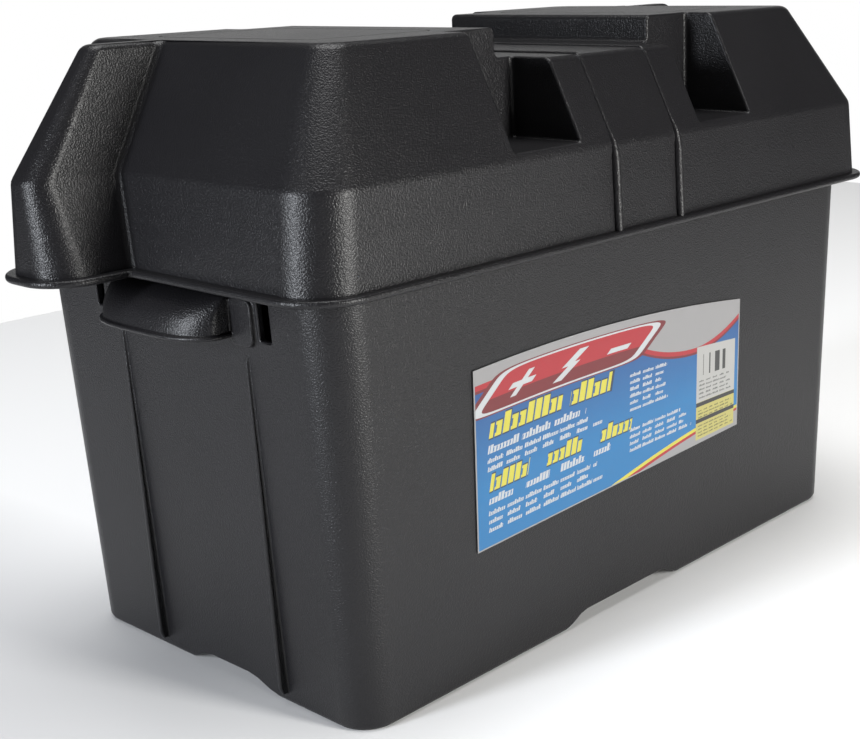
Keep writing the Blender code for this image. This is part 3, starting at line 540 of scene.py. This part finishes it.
class Shapes:
    """Shape-making steps shared by every piece."""

    CORNER_STEPS = 16
    SHARP_DEGREES = 30.0
    SMOOTH_DEGREES = 40.0
    FLAT_DEGREES = 0.6
    FLAT_WEIGHT = 80
    WELD = 1e-6
    CAD_WELD = 2e-6

    @staticmethod
    def link(bm: bmesh.types.BMesh, name: str) -> Piece:
        """Turn a bmesh into a linked object."""
        mesh = bpy.data.meshes.new(name)
        bm.to_mesh(mesh)
        bm.free()
        piece = bpy.data.objects.new(name, mesh)
        bpy.context.collection.objects.link(piece)
        return piece

    @classmethod
    def publish(cls, bm: bmesh.types.BMesh, name: str) -> Piece:
        """Link a bmesh with its doubles merged and its faces pointing outwards."""
        bmesh.ops.remove_doubles(bm, verts=bm.verts, dist=cls.WELD)
        bmesh.ops.recalc_face_normals(bm, faces=bm.faces)
        return cls.link(bm, name)

    @classmethod
    def slice(cls, bm: bmesh.types.BMesh, level: Level, steps: int) -> bmesh.types.BMFace:
        """Add one rounded rectangle as a face.

        Args:
            bm: The mesh being built.
            level: Its size, corner radius, middle and height.
            steps: Flats in each corner.

        Returns:
            The face.
        """
        before = set(bm.faces)
        verts = bmesh.ops.create_grid(bm, x_segments=1, y_segments=1, size=1.0)["verts"]
        bmesh.ops.scale(bm, vec=(level.half[0], level.half[1], 1.0), verts=verts)
        bmesh.ops.translate(bm, vec=(*level.centre, level.z), verts=verts)
        bmesh.ops.bevel(bm, geom=verts, offset=level.radius, offset_type="OFFSET", segments=steps,
                        profile=0.5, affect="VERTICES", material=-1, clamp_overlap=False)
        return next(face for face in bm.faces if face not in before)

    @classmethod
    def stack(cls, name: str, levels: Sequence[Level],
              steps: int = CORNER_STEPS) -> Piece:
        """Closed solid through rounded rectangles, from the lowest to the highest."""
        bm = bmesh.new()
        faces = [cls.slice(bm, level, steps) for level in levels]
        edges = [list(face.edges) for face in faces]
        bmesh.ops.delete(bm, geom=faces[1:-1], context="FACES_ONLY")
        for lower, upper in zip(edges, edges[1:]):
            bmesh.ops.bridge_loops(bm, edges=lower + upper)
        return cls.publish(bm, name)

    @classmethod
    def block(cls, name: str, low: Point3, high: Point3) -> Piece:
        """Box between two corners, used as a cutter or a rib."""
        bm = bmesh.new()
        size = Vector(high) - Vector(low)
        middle = (Vector(high) + Vector(low)) / 2
        bmesh.ops.create_cube(bm, size=1.0)
        bmesh.ops.scale(bm, vec=size, verts=bm.verts)
        bmesh.ops.translate(bm, vec=middle, verts=bm.verts)
        return cls.publish(bm, name)

    @staticmethod
    def evaluated(thing: Piece) -> bpy.types.Mesh:
        """Mesh of an object with its modifiers or its curve settings applied."""
        bpy.context.view_layer.update()
        graph = bpy.context.evaluated_depsgraph_get()
        return bpy.data.meshes.new_from_object(thing.evaluated_get(graph))

    @classmethod
    def bake(cls, piece: Piece) -> Piece:
        """Apply every modifier of a piece."""
        mesh = cls.evaluated(piece)
        piece.modifiers.clear()
        old = piece.data
        piece.data = mesh
        bpy.data.meshes.remove(old)
        return piece

    @classmethod
    def combine(cls, piece: Piece, tool: Piece,
                operation: str) -> Piece:
        """Apply a Boolean and remove its tool."""
        modifier = piece.modifiers.new("combine", "BOOLEAN")
        modifier.operation = operation
        modifier.object = tool
        cls.bake(piece)
        bpy.data.objects.remove(tool, do_unlink=True)
        return piece

    @classmethod
    def cut(cls, piece: Piece, *tools: Piece) -> Piece:
        """Take each tool away from a piece."""
        for tool in tools:
            cls.combine(piece, tool, "DIFFERENCE")
        return piece

    @classmethod
    def join(cls, piece: Piece, *tools: Piece) -> Piece:
        """Melt each tool into a piece."""
        for tool in tools:
            cls.combine(piece, tool, "UNION")
        return piece

    @classmethod
    def round_edges(cls, piece: Piece, width: float, segments: int,
                    degrees: float = SHARP_DEGREES, clamp: bool = True) -> Piece:
        """Round every edge sharper than an angle; clamp keeps roundings from meeting."""
        modifier = piece.modifiers.new("rounding", "BEVEL")
        modifier.width = width
        modifier.segments = segments
        modifier.limit_method = "ANGLE"
        modifier.angle_limit = math.radians(degrees)
        modifier.profile = 0.5
        modifier.miter_outer = "MITER_ARC"
        modifier.use_clamp_overlap = clamp
        return cls.bake(piece)

    @classmethod
    def polish(cls, piece: Piece) -> Piece:
        """Shade smooth with flat faces kept flat."""
        piece.data.shade_smooth()
        piece.data.set_sharp_from_angle(angle=math.radians(cls.SMOOTH_DEGREES))
        modifier = piece.modifiers.new("flatness", "WEIGHTED_NORMAL")
        modifier.weight = cls.FLAT_WEIGHT
        modifier.keep_sharp = True
        return cls.bake(piece)

    @classmethod
    def refine(cls, node: str, name: str, width: float, segments: int = 2,
               degrees: float = 35.0, clamp: bool = True) -> Piece:
        """Merged copy of a CAD node with its edges rounded.

        Args:
            node: The CAD node.
            name: The new piece's name.
            width: How much each edge is rounded, in metres.
            segments: Flats in each rounding.
            degrees: Edges sharper than this are rounded.
            clamp: Keep roundings from meeting each other.

        Returns:
            The new piece.
        """
        bm = bmesh.new()
        bm.from_mesh(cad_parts[node].data)
        bmesh.ops.remove_doubles(bm, verts=bm.verts, dist=cls.CAD_WELD)
        bmesh.ops.dissolve_limit(bm, angle_limit=math.radians(cls.FLAT_DEGREES),
                                 verts=bm.verts, edges=bm.edges)
        piece = cls.publish(bm, name)
        cls.round_edges(piece, width, segments, degrees, clamp)
        return cls.polish(piece)


# ---------- lid
@dataclass
class Lid:
    """Vented lid: tapered body, strap saddle, notches, beads, hoods and a beaded flange."""

    body: str = "lid"
    skirt_z: float = 0.180
    crease_z: float = 0.220
    top_z: float = 0.270
    skirt: Point2 = (0.192, 0.106)
    crease: Point2 = (0.1885, 0.1045)
    top: Point2 = (0.158, 0.0797)
    radius: float = 0.020
    top_radius: float = 0.011
    crease_arc: float = 0.0014
    crease_steps: int = 2
    sharp: float = 29.0
    edge: float = 0.0028
    edge_steps: int = 4
    notch_edge: float = 0.0012
    notch_steps: int = 3
    frame_x: Point2 = (0.074, 0.142)
    frame_y: float = 0.052
    frame_groove: Point2 = (0.0010, 0.0004)
    frame_radius: float = 0.006
    frame_steps: int = 6
    frame_past: Point2 = (0.001, 0.002)
    wall: float = 0.003
    saddle_half: float = 0.0525
    saddle_z: float = 0.2575
    notch_x: Point2 = (0.0425, 0.0835)
    notch_back: float = 0.065
    notch_floor: float = 0.223
    notch_fillet: float = 0.002
    fillet_steps: int = 5
    past_y: float = 0.15
    past_saddle: float = 0.02
    past_notch: float = 0.03
    inner_past: float = 0.005
    inner_drop: float = 0.001
    tuck: float = 0.0007
    hood_y: float = 0.028
    hood_half: Point3 = (0.0205, 0.0115, 0.006)
    hood_x: Point3 = (0.227, 0.2265, 0.190)
    hood_radius: Point3 = (0.016, 0.010, 0.005)
    hood_root: float = 0.150
    hood_fillet: Point2 = (0.002, 0.0005)
    flange_reach: float = 0.004
    flange_depth: float = 0.003
    flange_edge: float = 0.0013
    flange_sharp: float = 50.0
    bead_x: float = 0.0225
    bead_radius: float = 0.0021
    bead_steps: int = 4
    rest_x: float = 0.122
    rest_y: Point2 = (-0.060, -0.015)
    rest_z: Point2 = (0.2163, 0.245)
    rest_half: float = 0.00125
    rest_reach_x: Point2 = (0.1735, 0.196)
    rest_reach_y: Point2 = (0.0895, 0.112)

    def _softened(self, levels: Sequence[Level]) -> list[Level]:
        """Swap the middle one of three levels for an arc of levels."""
        low, mid, high = levels
        share_low = self.crease_arc / (mid.z - low.z)
        share_high = self.crease_arc / (high.z - mid.z)
        arc = []
        for step in range(self.crease_steps + 1):
            t = step / self.crease_steps
            weights = ((1 - t) ** 2, 2 * t * (1 - t), t ** 2)

            def along(start: float, middle: float, end: float) -> float:
                first = middle + (start - middle) * share_low
                last = middle + (end - middle) * share_high
                return weights[0] * first + weights[1] * middle + weights[2] * last

            half = tuple(along(*sizes) for sizes in zip(low.half, mid.half, high.half))
            centre = (along(low.centre[0], mid.centre[0], high.centre[0]), mid.centre[1])
            radius = along(low.radius, mid.radius, high.radius)
            arc.append(Level(along(low.z, mid.z, high.z), half, radius, centre))
        return [low, *arc, high]

    def _outer(self) -> Piece:
        """Outside of the body, with a soft crease and sharp top edges."""
        return Shapes.stack("lid_outer", self._softened((
            Level(self.skirt_z + self.tuck, self.skirt, self.radius),
            Level(self.crease_z, self.crease, self.radius),
            Level(self.top_z, self.top, self.top_radius))))

    def _inner(self) -> Piece:
        """Inside of the body, one wall in."""
        crease, top = [], []
        rise = self.top_z - self.crease_z
        for low, high in zip(self.crease, self.top):
            run = low - high
            slant = self.wall * math.hypot(run, rise) / rise
            crease.append(low - slant + run / rise * self.inner_drop)
            top.append(high - slant + run / rise * self.wall)
        skirt = (self.skirt[0] - self.wall, self.skirt[1] - self.wall)
        return Shapes.stack("lid_inner", (
            Level(self.skirt_z - self.inner_past, skirt, self.radius - self.wall),
            Level(self.crease_z - self.inner_drop, tuple(crease), self.radius - self.wall),
            Level(self.top_z - self.wall, tuple(top), self.top_radius - self.wall)))

    def _hood(self, inset: float, side: int) -> Piece:
        """Cable hood on one end: its outside, or its inside where inset."""
        heights = (self.skirt_z + self.tuck, self.crease_z, self.top_z)
        if inset > 0.0:
            heights = (self.skirt_z - self.inner_past, self.crease_z - self.inner_drop,
                       self.top_z - inset)
        levels = []
        for half, reach, radius, z in zip(self.hood_half, self.hood_x, self.hood_radius, heights):
            size = ((reach - inset - self.hood_root) / 2, half - inset)
            middle = side * (reach - inset + self.hood_root) / 2
            rounding = min(max(radius - inset, self.hood_fillet[0]), size[1] - self.hood_fillet[1])
            levels.append(Level(z, size, rounding, (middle, self.hood_y)))
        if inset == 0.0:
            levels = self._softened(levels)
        return Shapes.stack("hood", levels)

    def _flange(self) -> Piece:
        """Half-round bead round the skirt and both hoods."""
        reach = self.flange_reach
        top = self.skirt_z + self.flange_depth
        size = (self.skirt[0] + reach, self.skirt[1] + reach)
        rim = Shapes.stack("flange", (Level(self.skirt_z, size, self.radius + reach),
                                      Level(top, size, self.radius + reach)))
        for side in (-1, 1):
            far = self.hood_x[0] + reach
            half = ((far - self.hood_root) / 2, self.hood_half[0] + reach)
            middle = (side * (far + self.hood_root) / 2, self.hood_y)
            rounding = self.hood_radius[0] + reach
            Shapes.join(rim, Shapes.stack("hood_flange", [
                Level(z, half, rounding, middle) for z in (self.skirt_z, top)]))
        return Shapes.round_edges(rim, self.flange_edge, self.edge_steps, self.flange_sharp, False)

    def _saddle(self, inset: float) -> Piece:
        """Cutter for the strap's channel across the lid."""
        half = self.saddle_half + inset
        low = self.saddle_z - inset
        return Shapes.block("saddle", (-half, -self.past_y, low),
                            (half, self.past_y, self.top_z + self.past_saddle))

    def _notches(self, inset: float) -> list[Piece]:
        """Cutters for the four notches beside the saddle."""
        cutters = []
        near, far = self.notch_x[0] - inset, self.notch_x[1] + inset
        heights = (self.notch_floor - inset, self.top_z + self.past_notch)
        for side_x in (-1, 1):
            for side_y in (-1, 1):
                xs = sorted((side_x * near, side_x * far))
                ys = sorted((side_y * (self.notch_back - inset), side_y * self.past_y))
                half = ((xs[1] - xs[0]) / 2, (ys[1] - ys[0]) / 2)
                middle = ((xs[1] + xs[0]) / 2, (ys[1] + ys[0]) / 2)
                levels = [Level(z, half, self.notch_fillet, middle) for z in heights]
                cutters.append(Shapes.stack("notch", levels, self.fillet_steps))
        return cutters

    def _panel_groove(self, side: int) -> Piece:
        """Cutter for the shallow groove that frames a blank panel on one block's top."""
        width, depth = self.frame_groove
        below, above = self.frame_past
        middle = (side * (self.frame_x[0] + self.frame_x[1]) / 2, 0.0)
        half = ((self.frame_x[1] - self.frame_x[0]) / 2, self.frame_y)
        ring = []
        for grow, low in ((0.0, depth), (-width, depth + below)):
            size = (half[0] + grow, half[1] + grow)
            levels = [Level(z, size, self.frame_radius + grow, middle)
                      for z in (self.top_z - low, self.top_z + above - grow)]
            ring.append(Shapes.stack("groove", levels, self.frame_steps))
        return Shapes.cut(*ring)

    def _bead(self, x: float) -> Piece:
        """Guide bead up the skirt, over the saddle and down the other side."""
        slope = (self.crease[1] - self.top[1]) / (self.top_z - self.crease_z)
        edge = self.crease[1] - slope * (self.saddle_z - self.crease_z)
        near = ((-self.skirt[1] - 0.0004, self.skirt_z + 0.002, 1.0),
                (-self.crease[1] - 0.0006, self.crease_z - 0.006, 1.0),
                (-self.crease[1] + 0.0006, self.crease_z + 0.0010, 0.8),
                (-self.crease[1] + 0.0035, self.crease_z + 0.0065, 0.55),
                (-edge - 0.0006, self.saddle_z - 0.002, 0.55),
                (-edge + 0.0020, self.saddle_z - 0.0002, 0.55))
        path = list(near) + [(-y, z, size) for y, z, size in reversed(near)]
        curve = bpy.data.curves.new("bead", "CURVE")
        curve.dimensions = "3D"
        curve.bevel_depth = self.bead_radius
        curve.bevel_resolution = self.bead_steps
        curve.use_fill_caps = True
        spline = curve.splines.new("POLY")
        spline.points.add(len(path) - 1)
        for point, (y, z, size) in zip(spline.points, path):
            point.co = (x, y, z, 1.0)
            point.radius = size
        wire = bpy.data.objects.new("bead_path", curve)
        bpy.context.collection.objects.link(wire)
        mesh = Shapes.evaluated(wire)
        bpy.data.objects.remove(wire, do_unlink=True)
        bm = bmesh.new()
        bm.from_mesh(mesh)
        return Shapes.publish(bm, "bead")

    def _rests(self) -> list[Piece]:
        """Ribs inside the lid that sit on the tub's rim."""
        half = self.rest_half
        low, high = self.rest_z
        ribs = []
        for side in (-1, 1):
            for x in (-self.rest_x, self.rest_x):
                near, far = sorted(side * reach for reach in self.rest_reach_y)
                ribs.append(Shapes.block("rest", (x - half, near, low), (x + half, far, high)))
            for y in self.rest_y:
                near, far = sorted(side * reach for reach in self.rest_reach_x)
                ribs.append(Shapes.block("rest", (near, y - half, low), (far, y + half, high)))
        return ribs

    def build(self) -> Piece:
        """Make the lid, dress it and put it on its body."""
        lid = self._outer()
        Shapes.cut(lid, self._saddle(0.0))
        Shapes.join(lid, self._hood(0.0, -1), self._hood(0.0, 1))
        Shapes.round_edges(lid, self.edge, self.edge_steps, self.sharp, False)
        Shapes.cut(lid, *self._notches(0.0))
        Shapes.round_edges(lid, self.notch_edge, self.notch_steps, self.sharp, False)
        Shapes.cut(lid, self._panel_groove(-1), self._panel_groove(1))
        Shapes.join(lid, self._bead(-self.bead_x), self._bead(self.bead_x), self._flange())
        inner = self._inner()
        Shapes.cut(inner, self._saddle(self.wall), *self._notches(self.wall))
        Shapes.join(inner, self._hood(self.wall, -1), self._hood(self.wall, 1))
        Shapes.cut(inner, *self._rests())
        Shapes.cut(lid, inner)
        Shapes.polish(lid)
        lid.name = "lid_shell"
        Finish.BOX.dress(lid)
        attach(lid, self.body)
        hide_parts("lid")
        return lid


# ---------- other pieces
@dataclass
class Tub:
    """Open tub, taken from its CAD solid with rounded edges."""

    body: str = "tub"
    rounding: float = 0.0007
    segments: int = 2
    sharp: float = 40.0

    def build(self) -> Piece:
        """Make the tub, dress it and put it on its body."""
        tub = Shapes.refine("tub", "tub_shell", self.rounding, self.segments, self.sharp, False)
        Finish.BOX.dress(tub)
        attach(tub, self.body)
        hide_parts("tub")
        return tub


@dataclass
class Label:
    """Printed film that follows the drafted front wall."""

    body: str = "tub"
    x: Point2 = (-0.1085, 0.0830)
    bottom: Point2 = (0.0586, 0.0656)
    top: Point2 = (0.1381, 0.1314)
    bow: float = 0.0045
    lift: float = 0.0003
    thickness: float = 0.0003
    foot_y: float = 0.0955
    lean: float = (0.0997 - 0.0955) / 0.216
    columns: int = 40
    rows: int = 8

    def _at(self, s: float, t: float) -> Point3:
        """Place on the film from its two shares, s along it and t up it."""
        x = self.x[0] + (self.x[1] - self.x[0]) * s
        low = self.bottom[0] + (self.bottom[1] - self.bottom[0]) * s
        high = self.top[0] + (self.top[1] - self.top[0]) * s + 4 * self.bow * s * (1 - s)
        z = low + (high - low) * t
        return (x, -(self.foot_y + self.lean * z + self.lift), z)

    def build(self) -> Piece:
        """Make the film, dress it and put it on its body."""
        bm = bmesh.new()
        bm.loops.layers.uv.new("print")
        bmesh.ops.create_grid(bm, x_segments=self.columns, y_segments=self.rows, size=0.5,
                              calc_uvs=True)
        for vert in bm.verts:
            vert.co = self._at(vert.co.x + 0.5, vert.co.y + 0.5)
        bmesh.ops.recalc_face_normals(bm, faces=bm.faces)
        if sum(face.normal.y for face in bm.faces) > 0:
            bmesh.ops.reverse_faces(bm, faces=bm.faces)
        film = Shapes.link(bm, "label_film")
        depth = film.modifiers.new("depth", "SOLIDIFY")
        depth.thickness = self.thickness
        depth.offset = 1.0
        Shapes.bake(film)
        Finish.LABEL.dress(film)
        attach(film, self.body)
        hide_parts("label")
        return film


@dataclass
class RolledStrap:
    """Webbing wound into a flat roll, with its end running out to the buckle."""

    body: str = "tub"
    centre: Point2 = (0.133, -0.012)
    outer: float = 0.0225
    core: float = 0.0060
    thickness: float = 0.0016
    low: float = 0.0096
    width: float = 0.038
    tail_end: float = 0.0205
    spacing: float = 1.12
    fullness: float = 0.92
    turn_steps: int = 40
    tail_steps: int = 6

    def build(self) -> Piece:
        """Make the strip, dress it and put it on its body."""
        turns = (self.outer - self.core) / (self.thickness * self.spacing)
        steps = int(turns * self.turn_steps)
        half = self.thickness / 2
        spine = []
        for i in range(steps + 1):
            share = i / steps
            angle = math.pi - 2 * math.pi * turns * (1 - share)
            radius = self.core + (self.outer - half - self.core) * share
            spine.append((self.centre[0] + radius * math.cos(angle),
                          self.centre[1] - radius * math.sin(angle)))
        end_x = spine[-1][0]
        run_out = self.tail_end - self.centre[1]
        spine += [(end_x, self.centre[1] + run_out * i / self.tail_steps)
                  for i in range(1, self.tail_steps + 1)]
        bm = bmesh.new()
        layer = bm.loops.layers.uv.new("weave")
        verts = [bm.verts.new((x, y, self.low)) for x, y in spine]
        edges = [bm.edges.new(pair) for pair in zip(verts, verts[1:])]
        made = bmesh.ops.extrude_edge_only(bm, edges=edges)["geom"]
        raised = [item for item in made if isinstance(item, bmesh.types.BMVert)]
        bmesh.ops.translate(bm, vec=(0.0, 0.0, self.width), verts=raised)
        lengths = {}
        run = 0.0
        for i, (x, y) in enumerate(spine):
            if i:
                run += math.dist(spine[i - 1], (x, y))
            lengths[(round(x, 7), round(y, 7))] = run
        for face in bm.faces:
            for loop in face.loops:
                key = (round(loop.vert.co.x, 7), round(loop.vert.co.y, 7))
                nearest = lengths.get(key)
                if nearest is None:
                    nearest = min(lengths.items(), key=lambda item: math.dist(item[0], key))[1]
                loop[layer].uv = (nearest, loop.vert.co.z)
        strap = Shapes.link(bm, "rolled_strap")
        depth = strap.modifiers.new("depth", "SOLIDIFY")
        depth.thickness = self.thickness * self.fullness
        depth.offset = 0.0
        Shapes.bake(strap)
        strap.data.shade_smooth()
        strap.data.set_sharp_from_angle(angle=math.radians(Shapes.SMOOTH_DEGREES))
        Finish.STRAP.dress(strap)
        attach(strap, self.body)
        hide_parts("hold_down_strap")
        return strap


@dataclass(frozen=True)
class Refined:
    """A CAD node that is shown as a copy with rounded edges."""

    node: str
    body: str
    slot: str
    finish: Finish
    width: float = 0.0005
    segments: int = 2

    def build(self) -> Piece:
        """Make the copy, dress it and put it on its body."""
        piece = Shapes.refine(self.node, f"{self.node}_fine", self.width, self.segments)
        self.finish.dress(piece)
        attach(piece, self.body)
        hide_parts(self.node)
        return piece


@dataclass
class Contents:
    """Battery, divider and hold-down kit inside the box."""

    refined: list[Refined] = field(default_factory=lambda: [
        Refined("divider", "divider", "box_plastic", Finish.BOX, 0.0006),
        Refined("battery_case", "tub", "case_plastic", Finish.CASE, 0.0008),
        Refined("battery_cover", "tub", "cover_plastic", Finish.COVER, 0.0008, 3),
        *(Refined(cap, cap, "cap_plastic", Finish.CAP, 0.0007, 3)
          for cap in ("vent_cap_1", "vent_cap_2")),
        *(Refined(f"{pole}_terminal", "tub", "lead", Finish.LEAD, 0.0006, 3) for pole in POLES),
        *(Refined(nut, nut, "stainless", Finish.STAINLESS, 0.0004)
          for nut in (f"{pole}_wing_nut" for pole in POLES)),
        Refined("buckle_frame", "tub", "plated_steel", Finish.PLATED, 0.0006, 3),
        Refined("buckle_cam", "buckle_cam", "plated_steel", Finish.PLATED, 0.0005),
        *(Refined(f"mounting_bracket_{i}", "tub", "stainless", Finish.STAINLESS, 0.0004)
          for i in (1, 2))])

    @staticmethod
    def finish_of(node: str) -> Finish:
        """Finish of a CAD node that is shown as it is."""
        table = (("positive_plates", Finish.OXIDE), ("negative_plates", Finish.GREY_PASTE),
                 ("separators", Finish.SHEET), ("intercell", Finish.LEAD), ("buckle_pin",
                                                                            Finish.PLATED))
        for start, finish in table:
            if node.startswith(start):
                return finish
        return Finish.STAINLESS

    def build(self) -> list[Piece]:
        """Make the refined pieces and dress the CAD nodes that stay."""
        pieces = [part.build() for part in self.refined]
        replaced = {part.node for part in self.refined} | {"tub", "lid", "label", "hold_down_strap"}
        for node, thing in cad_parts.items():
            if node not in replaced:
                self.finish_of(node).dress(thing)
        return pieces


# ---------- studio
@dataclass(frozen=True)
class SoftBox:
    """Rectangular area light."""

    name: str
    place: Point3
    size: Point2
    radiance: float
    colour: Colour = (1.0, 1.0, 1.0)

    def build(self, target: Vector) -> None:
        """Add the light, turned towards a point."""
        data = bpy.data.lights.new(self.name, "AREA")
        data.shape = "RECTANGLE"
        data.size, data.size_y = self.size
        data.energy = math.pi * self.size[0] * self.size[1] * self.radiance
        data.color = self.colour
        lamp = bpy.data.objects.new(self.name, data)
        lamp.location = self.place
        lamp.rotation_euler = (target - Vector(self.place)).to_track_quat("-Z", "Y").to_euler()
        lamp.visible_camera = False
        bpy.context.collection.objects.link(lamp)


@dataclass
class Studio:
    """Pale floor, soft lights and the camera."""

    eye: Point3 = (-0.512322, -0.496008, 0.297548)
    yaw: float = -47.723
    pitch: float = 15.843
    roll: float = -1.820
    focal: float = 61.11
    shift: Point2 = (-0.11425, 0.00363)
    sensor: float = 36.0
    clip: float = 0.01
    aim: Point3 = (0.0, 0.0, 0.13)
    floor_half: float = 0.95
    floor_middle: Point3 = (0.25, -0.25, 0.0)
    floor_colour: Colour = (0.90, 0.90, 0.90)
    # Painted shadow: colour, middle and reach of a grey patch on the floor behind the left end.
    painted_shadow_colour: Colour = (0.42, 0.42, 0.43)
    painted_shadow_middle: Point2 = (-0.37, 0.20)
    painted_shadow_reach: Point2 = (0.26, 0.46)
    glow: Point2 = (0.05, 1.0)
    lights: tuple[SoftBox, ...] = (
        SoftBox("back_sheet", (1.6, 1.5, 0.5), (2.6, 1.0), 0.62),
        SoftBox("left_box", (-1.44, 0.20, 0.42), (0.24, 0.76), 40.0, (0.90, 0.94, 1.0)),
        SoftBox("front_box", (0.16, -1.38, 0.42), (0.24, 0.76), 40.0, (1.0, 0.99, 0.96)),
        SoftBox("top_box", (0.1, 0.1, 2.2), (1.5, 1.5), 6.2))

    def _camera(self) -> None:
        """Place the camera from its yaw, pitch and roll."""
        yaw, pitch, roll = (math.radians(angle) for angle in (self.yaw, self.pitch, self.roll))
        back = Vector((math.sin(yaw) * math.cos(pitch), -math.cos(yaw) * math.cos(pitch),
                       math.sin(pitch)))
        right = (-back).cross(Vector((0.0, 0.0, 1.0))).normalized()
        up = right.cross(-back)
        turned_right = right * math.cos(roll) + up * math.sin(roll)
        turned_up = up * math.cos(roll) - right * math.sin(roll)
        data = bpy.data.cameras.new("camera")
        data.sensor_width = self.sensor
        data.lens = self.focal
        data.shift_x, data.shift_y = self.shift
        data.clip_start = self.clip
        camera = bpy.data.objects.new("camera", data)
        columns = Matrix((turned_right, turned_up, back)).transposed()
        camera.matrix_world = Matrix.Translation(self.eye) @ columns.to_4x4()
        bpy.context.collection.objects.link(camera)
        bpy.context.scene.camera = camera

    def _floor(self) -> None:
        """Lay a pale floor with a painted shadow patch behind the left end."""
        bm = bmesh.new()
        bmesh.ops.create_grid(bm, x_segments=1, y_segments=1, size=self.floor_half)
        bmesh.ops.translate(bm, vec=self.floor_middle, verts=bm.verts)
        floor = Shapes.publish(bm, "floor")
        recipe = Recipe("floor_paint")
        x, y, _ = recipe.axes(recipe.place())
        along = (x - self.painted_shadow_middle[0]) / self.painted_shadow_reach[0]
        across = (y - self.painted_shadow_middle[1]) / self.painted_shadow_reach[1]
        # Painted shadow: an oval share towards the grey, plus a little random haze.
        shade = (1 - (along * along + across * across)).function("MAXIMUM", 0.0)
        haze = recipe.noise(recipe.place(), 0.4, 1.0) * 0.1
        tone = recipe.blend(shade * 0.9 + haze, self.floor_colour, self.painted_shadow_colour)
        recipe.feed(Base_Color=tone, Roughness=0.7)
        floor.data.materials.append(recipe.material)

    def _air(self) -> None:
        """White surroundings that shine less than they show."""
        world = bpy.data.worlds.new("studio")
        bpy.context.scene.world = world
        world.use_nodes = True
        tree = world.node_tree
        background = tree.nodes["Background"]
        seen = tree.nodes.new("ShaderNodeLightPath").outputs["Is Camera Ray"]
        strength = tree.nodes.new("ShaderNodeMix")
        strength.inputs["A"].default_value, strength.inputs["B"].default_value = self.glow
        tree.links.new(seen, strength.inputs["Factor"])
        tree.links.new(strength.outputs["Result"], background.inputs["Strength"])
        background.inputs["Color"].default_value = (1.0, 1.0, 1.0, 1.0)

    def build(self) -> None:
        """Set the whole studio up."""
        bpy.context.scene.view_settings.view_transform = "Standard"
        self._camera()
        self._floor()
        self._air()
        for light in self.lights:
            light.build(Vector(self.aim))


# ---------- assembly
def main() -> None:
    """Build the studio and every piece, and log each piece's face count."""
    logging.basicConfig(level=logging.INFO)
    Studio().build()
    pieces = [maker.build() for maker in (Lid(), Tub(), Label(), RolledStrap())]
    for piece in pieces + Contents().build():
        LOG.info("%s: %d faces", piece.name, len(piece.data.polygons))


if __name__ == "__main__":
    main()
